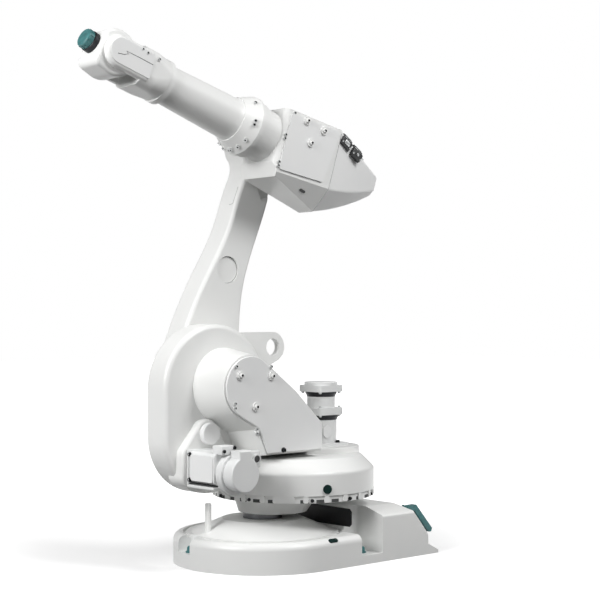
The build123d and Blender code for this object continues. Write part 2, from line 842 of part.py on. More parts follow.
# Elbow housing with the neck that carries the forearm; two slanted faces narrow it to a keel
with BuildPart() as elbow_housing:
    with BuildSketch(elbow_plane(elbow_half_width)):
        with BuildLine():
            Polyline(
                (elbow_front, elbow_front_top),
                (-elbow_back, elbow_back_top),
                (-elbow_back, -elbow_back_low),
                (elbow_chin_along, -elbow_chin_low),
                (elbow_front, -elbow_front_low),
                close=True,
            )
        make_face()
    extrude(amount=2 * elbow_half_width)
    front_face = elbow_housing.faces().sort_by(Axis(elbow, forearm_out))[-1]
    front_sides = front_face.edges().filter_by(lambda e: abs(e.center().Y) > elbow_half_width - touch)
    fillet(front_sides, elbow_front_edge)
    for side in (1, -1):
        front_corner = elbow_point(elbow_front, -elbow_side_front_low, side * elbow_half_width)
        rear_corner = elbow_point(-elbow_back, -elbow_side_back_low, side * elbow_half_width)
        keel_corner = elbow_point(-elbow_back, -elbow_back_low, side * elbow_keel_half)
        slant = (rear_corner - front_corner).cross(keel_corner - front_corner)
        outward = slant if slant.Y * side > 0 else -slant
        split(bisect_by=Plane(origin=front_corner, z_dir=outward), keep=Keep.BOTTOM)
    with BuildSketch(forearm_plane(elbow_front)):
        Circle(neck_radius)
    extrude(amount=neck_length - bearing_gap)
save(elbow_housing, "elbow_housing")

with BuildPart() as elbow_hub:
    with BuildSketch(elbow_plane(-elbow_half_width)):
        Circle(hub3_radius)
    extrude(amount=hub3_length - bearing_gap)
save(elbow_hub, "elbow_hub")

# Rear cover, tapering back from the elbow, with a pad for the connectors
with BuildPart() as elbow_rear:
    with BuildSketch(forearm_plane(-elbow_back)):
        add(rear_section(elbow_half_width, elbow_back_top, -elbow_side_back_low, elbow_keel_half,
                         -elbow_back_low, rear_front_corner))
    with BuildSketch(forearm_plane(rear_middle)):
        add(rear_section(rear_middle_half_width, rear_middle_top, rear_middle_side_low, rear_middle_keel_half,
                         rear_middle_low, rear_middle_corner))
    with BuildSketch(forearm_plane(rear_end)):
        add(rear_section(rear_end_half_width, rear_end_top, rear_end_side_low, rear_end_keel_half,
                         rear_end_low, rear_end_corner))
    loft()
    fillet(elbow_rear.faces().sort_by(Axis(elbow, forearm_out))[0].edges(), rear_edge)
    with BuildSketch(socket_plane(0)):
        RectangleRounded(socket_plate_length, socket_plate_width, socket_plate_corner)
    extrude(amount=-socket_pad_depth)
save(elbow_rear, "elbow_rear_cover")

with BuildPart() as socket_plate:
    with BuildSketch(socket_plane(0)):
        RectangleRounded(socket_plate_length, socket_plate_width, socket_plate_corner)
    extrude(amount=socket_plate_thickness)
save(socket_plate, "connector_plate")

for connector_name, connector_shift in (("front_connector", -0.5), ("rear_connector", 0.5)):
    with BuildPart() as connector:
        with BuildSketch(socket_plane(socket_plate_thickness)):
            with Locations((connector_shift * connector_spacing, 0)):
                Rectangle(connector_length, connector_width)
        extrude(amount=connector_height)
        chamfer(connector.faces().sort_by(Axis(elbow, socket_up))[-1].edges(), connector_bevel)
    save(connector, connector_name)

# Flat cover on the near side of the elbow, inside the edges of that side
side_front = elbow_front - elbow_front_edge - side_cover_front_margin
side_rear = -elbow_back + side_cover_margin
side_fall = (elbow_side_front_low - elbow_side_back_low) / (elbow_front + elbow_back)
side_front_low = elbow_side_front_low - side_fall * (elbow_front - side_front)
with BuildPart() as side_cover:
    with BuildSketch(elbow_plane(elbow_half_width)) as side_cover_corners:
        with BuildLine():
            Polyline(
                (side_front, elbow_front_top - side_cover_margin),
                (side_rear, elbow_back_top - side_cover_margin),
                (side_rear + side_cover_rear_lean, side_cover_margin - elbow_side_back_low),
                (side_front, side_cover_margin - side_front_low),
                close=True,
            )
        make_face()
        fillet(side_cover_corners.vertices(), side_cover_corner)
    extrude(amount=-side_cover_thickness)
save(side_cover, "elbow_side_cover")

# Forearm: bolted ring, tapering tube and wrist fork
with BuildPart() as forearm_ring:
    with BuildSketch(elbow_plane(0)):
        with BuildLine():
            Polyline(
                (neck_end, 0),
                (neck_end, ring_radius),
                (neck_end + ring_band_length, ring_radius),
                (neck_end + ring_band_length, ring_radius + ring_lip),
                (neck_end + ring_band_length + ring_lip_length, ring_radius + ring_lip),
                (tube_start, ring_front_radius),
                (tube_start, 0),
                close=True,
            )
        make_face()
    revolve(axis=Axis(elbow, forearm_out))
save(forearm_ring, "forearm_ring")

with BuildPart() as forearm_tube:
    with BuildSketch(elbow_plane(0)):
        with BuildLine():
            Line((tube_start, 0), (tube_start, tube_flare_radius))
            Spline(
                (tube_start, tube_flare_radius),
                (tube_start + tube_flare_length, tube_radius),
                tangents=[(1, -tube_flare_slope), (1, 0)],
            )
            Line((tube_start + tube_flare_length, tube_radius), (collar_start, tube_end_radius))
            Line((collar_start, tube_end_radius), (collar_start, 0))
            Line((collar_start, 0), (tube_start, 0))
        make_face()
    revolve(axis=Axis(elbow, forearm_out))
save(forearm_tube, "forearm_tube")

with BuildPart() as wrist_fork:
    for cheek_side in (fork_half_width, -cheek_inner):
        with BuildSketch(elbow_plane(cheek_side)):
            with Locations(((fork_root_end - cheek_root + upper_arm_length) / 2, 0)):
                Rectangle(upper_arm_length - fork_root_end + cheek_root, 2 * cheek_half_height)
            with Locations((upper_arm_length, 0)):
                Circle(cheek_half_height)
        extrude(amount=fork_half_width - cheek_inner)
    outer_faces = wrist_fork.faces().filter_by(lambda f: abs(f.center().Y) > fork_half_width - touch)
    fillet(outer_faces.edges(), cheek_edge)
    with BuildSketch(forearm_plane(collar_start)):
        Circle(collar_radius)
    extrude(amount=collar_length)
    with BuildSketch(forearm_plane(fork_start)):
        RectangleRounded(2 * fork_half_width, 2 * fork_half_height, fork_round_corner)
    with BuildSketch(forearm_plane(fork_start + fork_blend_length)):
        RectangleRounded(2 * fork_half_width, 2 * fork_half_height, fork_corner)
    loft()
    with BuildSketch(forearm_plane(fork_start + fork_blend_length)):
        RectangleRounded(2 * fork_half_width, 2 * fork_half_height, fork_corner)
    extrude(amount=fork_root_end - fork_start - fork_blend_length)
save(wrist_fork, "wrist_fork")

cheek_cover_half = cheek_half_height - cheek_cover_inset
for cover_name, cover_y, outward in (
    ("near_cheek_cover", fork_half_width, -1),
    ("far_cheek_cover", -fork_half_width, 1),
):
    with BuildPart() as cheek_cover:
        with BuildSketch(elbow_plane(cover_y)):
            with Locations((upper_arm_length - cheek_cover_back / 2, 0)):
                Rectangle(cheek_cover_back, 2 * cheek_cover_half)
            with Locations((upper_arm_length, 0)):
                Circle(cheek_cover_half)
        extrude(amount=outward * cheek_cover_thickness)
    save(cheek_cover, cover_name)

# Tilting wrist: drum between the cheeks, drawn out to a flat front that carries the turning disc
drum_half_width = cheek_inner - bearing_gap
with BuildPart() as tilt_drum:
    with BuildSketch(wrist_plane(drum_half_width)):
        Circle(drum_radius)
        with Locations((head_top_along, head_top_rise)):
            Circle(head_end - head_top_along)
        with Locations((head_low_along, -head_low_drop)):
            Circle(head_end - head_low_along)
        make_hull()
        with Locations((head_end + drum_radius, 0)):
            Rectangle(2 * drum_radius, 2 * drum_radius, mode=Mode.SUBTRACT)
    extrude(amount=2 * drum_half_width)
    fillet(tilt_drum.faces().filter_by(Axis.Y).edges(), drum_edge)
save(tilt_drum, "tilt_housing")

with BuildPart() as turning_disc:
    with BuildSketch(tool_plane(head_end + bearing_gap)):
        Circle(disc_radius)
    extrude(amount=disc_thickness)
    chamfer(turning_disc.edges().sort_by(Axis.X)[-1], disc_bevel)
save(turning_disc, "turning_disc")

with BuildPart() as disc_cap:
    with BuildSketch(tool_plane(flange_reach)):
        Circle(cap_shell_radius)
    extrude(amount=cap_shell_depth)
    fillet(disc_cap.faces().sort_by(Axis.X)[-1].edges(), cap_shell_edge)
save(disc_cap, "disc_cap")
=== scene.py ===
# %% [markdown]
# # A white industrial robot arm
# The castings, motors and joints come ready-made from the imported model, with their real sizes.
# This lesson adds what a paint shop and a fitter add: finishes, screws, seams, sockets and plugs.
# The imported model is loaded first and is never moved, so every later piece is set against it.

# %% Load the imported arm
import json
from math import cos, pi, radians, sin

import bmesh
import bpy
from mathutils import Matrix, Vector


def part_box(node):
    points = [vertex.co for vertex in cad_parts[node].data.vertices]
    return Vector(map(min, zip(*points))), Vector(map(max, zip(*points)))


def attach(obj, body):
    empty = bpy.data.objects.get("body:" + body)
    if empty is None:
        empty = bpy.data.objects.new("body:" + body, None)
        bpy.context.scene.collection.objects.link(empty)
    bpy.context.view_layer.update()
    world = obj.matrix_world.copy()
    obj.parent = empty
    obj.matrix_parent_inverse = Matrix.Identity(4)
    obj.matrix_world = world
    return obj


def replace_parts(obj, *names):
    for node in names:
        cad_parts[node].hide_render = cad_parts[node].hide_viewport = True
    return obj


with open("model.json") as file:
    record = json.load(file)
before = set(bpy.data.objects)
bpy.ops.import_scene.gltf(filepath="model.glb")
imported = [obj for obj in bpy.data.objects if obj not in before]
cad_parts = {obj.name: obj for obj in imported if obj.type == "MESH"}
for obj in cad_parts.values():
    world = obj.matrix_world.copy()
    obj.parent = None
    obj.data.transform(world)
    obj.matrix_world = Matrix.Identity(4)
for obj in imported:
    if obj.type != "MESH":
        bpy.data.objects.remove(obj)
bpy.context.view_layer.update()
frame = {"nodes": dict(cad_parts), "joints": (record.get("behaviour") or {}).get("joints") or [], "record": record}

MM = 0.001
scene = bpy.context.scene
nodes = frame["nodes"]
print("nodes loaded:", len(nodes))

# %% [markdown]
# ## Places on the arm
# Screws and seams are easiest to place in the directions of the limb that carries them.
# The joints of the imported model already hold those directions, so they are read from there
# and not typed in again. If a limb moves in the CAD, its screws move with it.

# %% Directions of the limbs at rest
joint_at = {joint["name"]: Vector(joint["pos_m"]) for joint in frame["joints"]}
joint_axis = {joint["name"]: Vector(joint["axis"]) for joint in frame["joints"]}
UP = Vector((0, 0, 1))
LEFT = Vector((0, 1, 0))
FRONT = Vector((1, 0, 0))
forearm_out = joint_axis["axis_4"].normalized()
forearm_up = forearm_out.cross(LEFT)
tool_out = joint_axis["axis_6"].normalized()
tool_up = tool_out.cross(LEFT)
elbow = Vector((joint_at["axis_3"].x, 0, joint_at["axis_3"].z))
wrist = Vector((joint_at["axis_5"].x, 0, joint_at["axis_5"].z))


def on_forearm(along, up, side):
    """A place given in millimetres from the elbow axis, along the forearm."""
    return elbow + (forearm_out * along + forearm_up * up + LEFT * side) * MM


def on_tool(along, up, side):
    """A place given in millimetres from the wrist axis, along the tool's axis."""
    return wrist + (tool_out * along + tool_up * up + LEFT * side) * MM


def on_floor(x, y, z):
    """A place given in millimetres from where the first axis meets the floor."""
    return Vector((x, y, z)) * MM


print("forearm rises by", round(forearm_out.z / forearm_out.x, 4))

# %% [markdown]
# ## Camera
# The photograph was taken from left of the robot's front, at half the arm's height, with a long lens.
# A camera can be aimed with a constraint, but here the three axes are written into its matrix,
# because a matrix holds the small pan and tilt exactly and needs no extra object.

# %% Camera at the photograph's place
EYE_DISTANCE, EYE_HEIGHT = 3.925, 0.678
EYE_TURN, PAN, TILT = radians(40.4), radians(1.52), radians(0.6)
FOCAL_PIXELS, FRAME_PIXELS, SENSOR = 1414, 600, 36

facing = EYE_TURN + PAN
look = Vector((-sin(facing) * cos(TILT), -cos(facing) * cos(TILT), sin(TILT)))
right = Vector((-cos(facing), sin(facing), 0))
above = right.cross(look)
camera_data = bpy.data.cameras.new("photo_camera")
camera_data.sensor_width = SENSOR
camera_data.lens = SENSOR * FOCAL_PIXELS / FRAME_PIXELS
camera = bpy.data.objects.new("photo_camera", camera_data)
scene.collection.objects.link(camera)
eye = Vector((EYE_DISTANCE * sin(EYE_TURN), EYE_DISTANCE * cos(EYE_TURN), EYE_HEIGHT))
camera.matrix_world = Matrix.Translation(eye) @ Matrix((right, above, -look)).transposed().to_4x4()
scene.camera = camera
print("lens", round(camera_data.lens, 2), "mm")

# %% [markdown]
# ## A helper for node trees
# Materials and Geometry Nodes are both graphs of nodes. One function is enough for all of them:
# it adds a node, sets its options, and fills each input with a value or with another node's output.

# %% Node helper and colours


def feed(tree, node, inputs):
    """Fill a node's inputs with values or with the outputs of other nodes."""
    for key, value in inputs.items():
        if isinstance(value, bpy.types.NodeSocket):
            tree.links.new(value, node.inputs[key])
        else:
            node.inputs[key].default_value = value


def add(tree, kind, options=None, inputs=None):
    """Add a node, set its options and feed its inputs."""
    made = tree.nodes.new(kind)
    for name, value in (options or {}).items():
        setattr(made, name, value)
    feed(tree, made, inputs or {})
    return made


def linear(text, alpha=1.0):
    """Turn an sRGB hex colour into the linear values that a shader works in."""
    parts = [int(text[i:i + 2], 16) / 255 for i in (1, 3, 5)]
    return [c / 12.92 if c <= 0.04045 else ((c + 0.055) / 1.055) ** 2.4 for c in parts] + [alpha]


print("white paint is", [round(c, 3) for c in linear("#EBEBE9")])

# %% [markdown]
# ## What every finish shares
# No real surface has one even tone. Each finish is mixed from two tones by a noise of wide patches,
# and a finer noise is its grain. The roughness follows one of the two, or stays the same all over,
# and the grain may also stand out as a slight relief. So one function serves paint, metal and plastic,
# and each finish below states only how it differs.

# %% A finish of two tones


def new_finish(name, plain):
    """A material with one shader; values that are the same all over go into its own inputs."""
    material = bpy.data.materials.new(name)
    material.use_nodes = True
    tree = material.node_tree
    shader = tree.nodes["Principled BSDF"]
    feed(tree, shader, plain)
    return material, tree, shader, add(tree, "ShaderNodeTexCoord").outputs["Object"]


def two_tones(name, light, dark, patch, grain, plain, gloss=None, gloss_by_grain=False, relief=None):
    """Patch and grain are each a size in millimetres and a detail; relief is a strength and a depth."""
    material, tree, shader, place = new_finish(name, plain)
    patches, grains = [add(tree, "ShaderNodeTexNoise", None,
                           {"Vector": place, "Scale": 1 / (size_mm * MM), "Detail": detail}).outputs["Fac"]
                       for size_mm, detail in (patch, grain)]
    tone = add(tree, "ShaderNodeMix", {"data_type": "RGBA"},
               {0: patches, 6: linear(light), 7: linear(dark)})
    feed(tree, shader, {"Base Color": tone.outputs[2]})
    if gloss:
        sheen = add(tree, "ShaderNodeMapRange", None,
                    {"Value": grains if gloss_by_grain else patches, "To Min": gloss[0], "To Max": gloss[1]})
        feed(tree, shader, {"Roughness": sheen.outputs[0]})
    if relief:
        wave = add(tree, "ShaderNodeBump", None,
                   {"Height": grains, "Strength": relief[0], "Distance": relief[1] * MM})
        feed(tree, shader, {"Normal": wave.outputs["Normal"]})
    return material


print("ready to mix finishes")

# %% [markdown]
# ## Paint
# The castings are primed and sprayed with a semi-gloss two-part enamel. Three things tell the eye
# that it is paint and not plastic: a faint waviness from the sand mould under it, a gloss that
# differs a little from place to place, and a tone that is never perfectly even. Sheet covers and
# motor cases get the same white on a smooth base, where only the orange peel of the spray gun shows.

# %% Enamel on castings, covers and motors
PAINT = {"IOR": 1.5}
# Real sand grain is under a millimetre; it is drawn at 7 mm so that it shows in the picture.
CAST = {"plain": PAINT, "patch": (160, 3.0), "grain": (7, 2.0), "relief": (0.05, 0.4)}
# Orange peel is one to three millimetres wide; it is drawn at 4 mm for the same reason.
SPRAYED = {"plain": PAINT, "patch": (80, 2.0), "grain": (4, 0.0), "relief": (0.03, 0.2)}
# Broad, faintly wavy highlights: a casting under thick paint.
white_enamel = two_tones("white_enamel_on_casting", "#EBEBE9", "#E2E3E2", gloss=(0.30, 0.44), **CAST)
# Tighter, smoother highlights set the covers off from the castings.
cover_enamel = two_tones("satin_enamel_on_sheet_cover", "#EAEAE9", "#E4E5E5", gloss=(0.26, 0.36), **SPRAYED)
# A touch greyer and flatter, because the motors come from another paint line.
motor_enamel = two_tones("satin_enamel_on_motor_case", "#E4E5E4", "#DADBDB", gloss=(0.34, 0.46), **SPRAYED)
print("made", white_enamel.name, cover_enamel.name, motor_enamel.name)

# %% [markdown]
# ## Metal that is left bare
# Bearing steel under the turntable is dark from oil, the socket plate is clear-anodised aluminium,
# the tool disc and the screws of rim and motors are black-oxided, and small cover screws are
# zinc-plated. A metal's colour is its reflection, so these get a metallic shader at the default IOR,
# with stains in the tone and turning marks in the roughness.

# %% Bare metals
# Turning marks are a fraction of a millimetre apart; they are drawn at 3 mm so that they show.
MACHINED = {"plain": {"Metallic": 1.0}, "patch": (40, 4.0), "grain": (3, 1.0), "gloss_by_grain": True}
# A dark band under the turntable that still catches light.
oiled_steel = two_tones("oiled_bearing_steel", "#6B6C6D", "#4C4D4F", gloss=(0.30, 0.45), **MACHINED)
# A pale, cool metal that sets off the black sockets on it.
anodised = two_tones("clear_anodised_aluminium", "#D2D4D5", "#BFC2C4", gloss=(0.28, 0.42), **MACHINED)
# Nearly black, with a faint metal edge.
black_oxide = two_tones("black_oxided_steel", "#3A3B3D", "#242527", gloss=(0.35, 0.55), **MACHINED)
# Small bright glints on the white covers.
zinc_plate = two_tones("zinc_plated_steel", "#C9CBCB", "#AEB0B0", gloss=(0.22, 0.38), **MACHINED)
print("made", oiled_steel.name, anodised.name, black_oxide.name, zinc_plate.name)

# %% [markdown]
# ## Plastics
# Transport caps on a new robot are blown polyethylene: teal, waxy and a little uneven in colour.
# Plugs are moulded nylon, nearly black with a green cast, and socket housings are black nylon.
# Waxy plastic scatters light inside, but at this size a lighter mottle gives the same look, and the
# grain is that of the mould.

# %% Moulded plastics
PLASTIC_IOR, MOTTLE_DETAIL = 1.49, 3.0
# The grain of a mould is well under a millimetre; it is drawn at 2 mm so that it shows.
MOULD_GRAIN, FINE_MOULD_GRAIN, MOULD_RELIEF = (2, 1.0), (1.5, 1.0), (0.15, 0.3)


def moulded(name, light, dark, mottle_mm, grain=MOULD_GRAIN, **plain):
    """Moulded plastic: a mottle of one size, a fine grain, and values that are the same all over."""
    values = {"IOR": PLASTIC_IOR, **{label.replace("_", " "): value for label, value in plain.items()}}
    return two_tones(name, light, dark, (mottle_mm, MOTTLE_DETAIL), grain, values, relief=MOULD_RELIEF)


# A waxy, cloudy teal, the one strong colour on the arm.
teal_cap = moulded("teal_polyethylene_transport_cap", "#4C8F90", "#0F383C", 14, Roughness=0.42)
# A matt face that hardly mirrors the studio, so it stays dark in bright light.
green_plug = moulded("dark_green_nylon_plug", "#042A26", "#021312", 10, Roughness=0.7,
                     Specular_IOR_Level=0.15)
# A soft black that keeps a little shine on its edges.
black_nylon = moulded("black_moulded_nylon", "#232426", "#121314", 8, FINE_MOULD_GRAIN, Roughness=0.45)
# A grey line that draws the border of each cover.
seam_filler = moulded("grey_seam_sealant", "#C6C7C6", "#B2B3B2", 12, Roughness=0.6)
# Painted shade: a darker line, as deep as the shade in a joint, a groove or an opening.
shadow_gap = moulded("painted_shade_line", "#4A4B4B", "#333434", 12, Roughness=0.7)
print("made", teal_cap.name, green_plug.name, black_nylon.name, seam_filler.name, shadow_gap.name)

# %% [markdown]
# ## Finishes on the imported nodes
# The record already says which slot each node belongs to. A dictionary from slot to material
# dresses most nodes at once. A short list names the sheet covers, whose base is smoother, and the
# tool disc is black-oxided.

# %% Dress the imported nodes
SLOT_FINISH = {
    "white_paint": white_enamel, "motor_paint": motor_enamel, "dark_steel": oiled_steel,
    "bare_metal": anodised, "teal_plastic": teal_cap, "dark_plug": green_plug,
    "black_plastic": black_nylon,
}
SHEET_COVERS = ("shoulder_cover", "elbow_side_cover", "elbow_rear_cover", "near_cheek_cover",
                "far_cheek_cover", "shoulder_end_cover", "elbow_end_cover", "wall_cap")
for row in frame["record"]["subparts"]:
    dressed = nodes[row["node"]].data
    dressed.materials.clear()
    dressed.materials.append(SLOT_FINISH[row["material_slot"]])
for name in SHEET_COVERS:
    nodes[name].data.materials[0] = cover_enamel
nodes["turning_disc"].data.materials[0] = black_oxide

# %% [markdown]
# ## Start and end of a geometry tree
# Screws, seams and plates are made by Geometry Nodes. Each tree starts the same way: a geometry comes
# in, and its sizes and finishes are named inputs. Each also ends the same way: copies are made real
# and get their finishes. Two functions write these ends, so a tree below holds only its own form.

# %% Ends of a tree


def start_tree(name, sizes, materials):
    """A geometry tree with named inputs; sizes are given in millimetres."""
    tree = bpy.data.node_groups.new(name, "GeometryNodeTree")
    face = tree.interface
    face.new_socket("Geometry", in_out="INPUT", socket_type="NodeSocketGeometry")
    for label, size in sizes.items():
        face.new_socket(label, in_out="INPUT", socket_type="NodeSocketFloat").default_value = size * MM
    for label in materials:
        face.new_socket(label, in_out="INPUT", socket_type="NodeSocketMaterial")
    face.new_socket("Geometry", in_out="OUTPUT", socket_type="NodeSocketGeometry")
    return tree, add(tree, "NodeGroupInput").outputs


def end_tree(tree, geometry, coats):
    """Make copies real, give each choice of faces its finish, and send the geometry out."""
    coated = add(tree, "GeometryNodeRealizeInstances", None, {"Geometry": geometry})
    for finish, faces in coats:
        coated = add(tree, "GeometryNodeSetMaterial", None,
                     {"Geometry": coated.outputs[0], "Selection": faces, "Material": finish})
    add(tree, "NodeGroupOutput", None, {"Geometry": coated.outputs[0]})
    print(tree.name, "has", len(tree.nodes), "nodes")


screw_tree, given = start_tree(
    "socket_head_screws",
    {"Head Radius": 4.0, "Head Height": 3.0, "Washer Radius": 7.0, "Washer Height": 1.2},
    ("Paint", "Head", "Socket"))
print("the screw tree takes", [socket.name for socket in given if socket.name])

# %% [markdown]
# ## One screw
# A robot is held together by dozens of socket-head screws on washers, painted over with the rest.
# Washer and head are flat cylinders. The head's top face is drawn in for the chamfer, drawn in again
# for the rim, and pushed down as the socket. The faces of the head and the socket are marked by name,
# because each gets its own finish at the end of the tree.

# %% Form of one screw
SCREW_SIDES = 18
# Each step lifts the top face by a share of the head's height and then draws it in.
HEAD_STEPS = ((0.2, 0.86), (0.0, 0.74), (-0.7, 1.0))
washer, head = [add(screw_tree, "GeometryNodeMeshCylinder", None,
                    {"Vertices": SCREW_SIDES, "Radius": given[part + " Radius"],
                     "Depth": given[part + " Height"]}).outputs for part in ("Washer", "Head")]
shape, top = head["Mesh"], head["Top"]
for share, scale in HEAD_STEPS:
    rise = add(screw_tree, "ShaderNodeMath", {"operation": "MULTIPLY"},
               {0: given["Head Height"], 1: share})
    pushed = add(screw_tree, "GeometryNodeExtrudeMesh", None,
                 {"Mesh": shape, "Selection": top, "Offset Scale": rise.outputs[0],
                  "Individual": False}).outputs
    shape = add(screw_tree, "GeometryNodeScaleElements", None,
                {"Geometry": pushed["Mesh"], "Selection": pushed["Top"], "Scale": scale}).outputs[0]
    top = pushed["Top"]
inside = add(screw_tree, "FunctionNodeBooleanMath", {"operation": "OR"},
             {0: pushed["Top"], 1: pushed["Side"]})
for label, faces in (("in_socket", inside.outputs[0]), ("on_head", True)):
    shape = add(screw_tree, "GeometryNodeStoreNamedAttribute", {"data_type": "BOOLEAN", "domain": "FACE"},
                {"Geometry": shape, "Name": label, "Value": faces}).outputs[0]
screw = add(screw_tree, "GeometryNodeJoinGeometry")
for part, form, foot in (("Washer", washer["Mesh"], 0.0), ("Head", shape, given["Washer Height"])):
    middle = add(screw_tree, "ShaderNodeMath", {"operation": "MULTIPLY_ADD"},
                 {0: given[part + " Height"], 1: 0.5, 2: foot})
    lift = add(screw_tree, "ShaderNodeCombineXYZ", None, {"Z": middle.outputs[0]})
    lifted = add(screw_tree, "GeometryNodeTransform", None,
                 {"Geometry": form, "Translation": lift.outputs[0]})
    screw_tree.links.new(lifted.outputs[0], screw.inputs[0])
print("one screw takes", len(screw_tree.nodes), "nodes")

# %% [markdown]
# ## A screw on every point
# Copying a modelled screw by hand would work, but the tree keeps one screw and puts it on every point of a list,
# turned to the direction that the point stores. It is painted all over, then its head gets its own finish, and the
# socket goes black as painted shade inside the hole.

# %% Screws on points
outward, on_head, in_socket = [
    add(screw_tree, "GeometryNodeInputNamedAttribute", {"data_type": kind}, {"Name": label}).outputs[0]
    for label, kind in (("facing", "FLOAT_VECTOR"), ("on_head", "BOOLEAN"), ("in_socket", "BOOLEAN"))]
faced = add(screw_tree, "FunctionNodeAlignRotationToVector", {"axis": "Z"}, {"Vector": outward})
copies = add(screw_tree, "GeometryNodeInstanceOnPoints", None,
             {"Points": given["Geometry"], "Instance": screw.outputs[0], "Rotation": faced.outputs[0]})
# The black socket is painted shade: the dark inside the hole.
end_tree(screw_tree, copies.outputs[0],
         ((given["Paint"], True), (given["Head"], on_head), (given["Socket"], in_socket)))

# %% [markdown]
# ## From a tree to a plain mesh
# Instances and modifiers don't survive an export, so each piece is baked to a plain mesh once its
# inputs are set. The inputs are set by their identifiers, because two inputs may share a name. A
# finished mesh is shaded smooth with sharp edges, and rides on the body that carries it.

# %% Grow a piece and settle it
SHARP_ANGLE = 35


def shade(mesh):
    """Smooth the round faces and keep the edges sharp."""
    mesh.shade_smooth()
    mesh.set_sharp_from_angle(angle=radians(SHARP_ANGLE))


def settle(name, body, mesh):
    """Put a finished mesh in the scene, riding on a body."""
    piece = bpy.data.objects.new(name, mesh)
    scene.collection.objects.link(piece)
    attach(piece, body)
    print(name, "on", body, len(mesh.polygons), "faces")
    return piece


def grow(name, body, mesh, tree, inputs):
    """Run a geometry tree on a mesh and keep the result as a plain piece."""
    source = bpy.data.objects.new(name + "_source", mesh)
    scene.collection.objects.link(source)
    modifier = source.modifiers.new("grow", "NODES")
    modifier.node_group = tree
    labels = {item.name: item.identifier for item in tree.interface.items_tree
              if item.in_out == "INPUT"}
    for label, value in inputs.items():
        modifier[labels[label]] = value
    view = bpy.context.evaluated_depsgraph_get()
    made = bpy.data.meshes.new_from_object(source.evaluated_get(view))
    source.modifiers.clear()
    bpy.data.objects.remove(source)
    made.name = name
    shade(made)
    return settle(name, body, made)


print("edges over", SHARP_ANGLE, "degrees stay sharp")

# %% [markdown]
# ## Screws of one size
# A set of screws is a list of places, each with the way its screw faces. The places become loose
# points that carry this direction as an attribute, and the tree does the rest.

# %% Points and screws
HEAD_SHARE, WASHER_SHARE, THICK_WASHER_SHARE = 0.8, 0.3, 0.8
ALL_BLACK = {"head": black_oxide, "paint": black_oxide, "slot": "dark_steel"}


def spots(name, places):
    """Loose points, each with the direction that its screw faces."""
    mesh = bpy.data.meshes.new(name + "_points")
    mesh.from_pydata([place for place, _ in places], [], [])
    facing = mesh.attributes.new("facing", "FLOAT_VECTOR", "POINT")
    facing.data.foreach_set("vector", [c for _, direction in places for c in direction])
    return mesh


def screws(name, body, places, head_mm, washer_mm, head=white_enamel, paint=white_enamel,
           slot="white_paint", washer_share=WASHER_SHARE):
    """Socket-head screws of one size on one body; heights are shares of the head's radius."""
    sizes = {"Head Radius": head_mm * MM, "Head Height": HEAD_SHARE * head_mm * MM,
             "Washer Radius": washer_mm * MM, "Washer Height": washer_share * head_mm * MM,
             "Paint": paint, "Head": head, "Socket": black_oxide}
    return grow(name, body, spots(name, places), screw_tree, sizes)


print("a head is", HEAD_SHARE, "of its radius high")

# %% [markdown]
# ## Screws of the two flat covers
# The shoulder cover and the elbow's side cover each show three large screws on washers and a few
# small ones near the rim. They don't follow a circle or a grid, so their places are listed, and a
# loop hands each list to the tree with the kind of screw that stands there.

# %% Screws on the shoulder cover and the elbow cover
LARGE = {"head_mm": 5.5, "washer_mm": 11.5, "washer_share": THICK_WASHER_SHARE}
SMALL = {"head_mm": 4, "washer_mm": 5.2, "head": zinc_plate}
CORNER = {"head_mm": 5.5, "washer_mm": 7, **ALL_BLACK}
SHOULDER_SCREWS = (
    ("shoulder_cover_large_screws", LARGE, ((186, 519), (78, 515), (134, 435))),
    ("shoulder_cover_small_screws", SMALL,
     ((201, 543), (81, 540), (205, 446), (205, 434), (131, 376), (131, 364))),
    ("shoulder_cover_corner_screw", CORNER, ((37, 315),)))
cover_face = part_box("shoulder_cover")[1].y / MM
for name, kind, places in SHOULDER_SCREWS:
    screws(name, "turntable", [(on_floor(x, cover_face, z), LEFT) for x, z in places], **kind)
# The large screws hold the elbow's cover; the small ones stand beside it, on the housing.
housing_face, panel_face = (corner.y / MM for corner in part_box("elbow_side_cover"))
ELBOW_SCREWS = (
    ("elbow_cover_large_screws", LARGE, panel_face, ((-17, 71), (-85, 69), (-48, 17))),
    ("elbow_cover_small_screws", SMALL, housing_face,
     ((29, 75), (42, 5), (42, -6), (42, -75), (42, -86))))
for name, kind, face, places in ELBOW_SCREWS:
    screws(name, "elbow", [(on_forearm(s, t, face), LEFT) for s, t in places], **kind)

# %% [markdown]
# ## Screws round the forearm ring
# The ring that joins the forearm to the elbow is a cone, and its screws stand square to the cone.
# The cone's own slope gives each screw its direction, so only the angle round the ring is listed;
# the right half is the mirror image of the left half.

# %% Screws on the forearm ring
RING_LIP_ALONG, RING_LIP_RADIUS = 137, 86
RING_END_ALONG, RING_END_RADIUS = 183, 64
RING_SCREW_ALONG = 155
RING_HEAD, RING_WASHER = 4.6, 6.5
RING_TURNS = (49, 92, 100, 135, 157, 177)
ring_slope = (RING_LIP_RADIUS - RING_END_RADIUS) / (RING_END_ALONG - RING_LIP_ALONG)
ring_screw_radius = RING_LIP_RADIUS - ring_slope * (RING_SCREW_ALONG - RING_LIP_ALONG)
ring_places = []
for turn in [t * side for t in RING_TURNS for side in (1, -1)]:
    outward = forearm_up * cos(radians(turn)) + LEFT * sin(radians(turn))
    spot = elbow + (forearm_out * RING_SCREW_ALONG + outward * ring_screw_radius) * MM
    ring_places.append((spot, (outward + forearm_out * ring_slope).normalized()))
screws("forearm_ring_screws", "forearm", ring_places, RING_HEAD, RING_WASHER, zinc_plate)

# %% [markdown]
# ## Screws of the round covers
# On the far side, two round covers close the shoulder and the elbow. Their screws stand on a circle
# a little inside the rim, so the cover's own box gives the circle and a loop gives the angles.

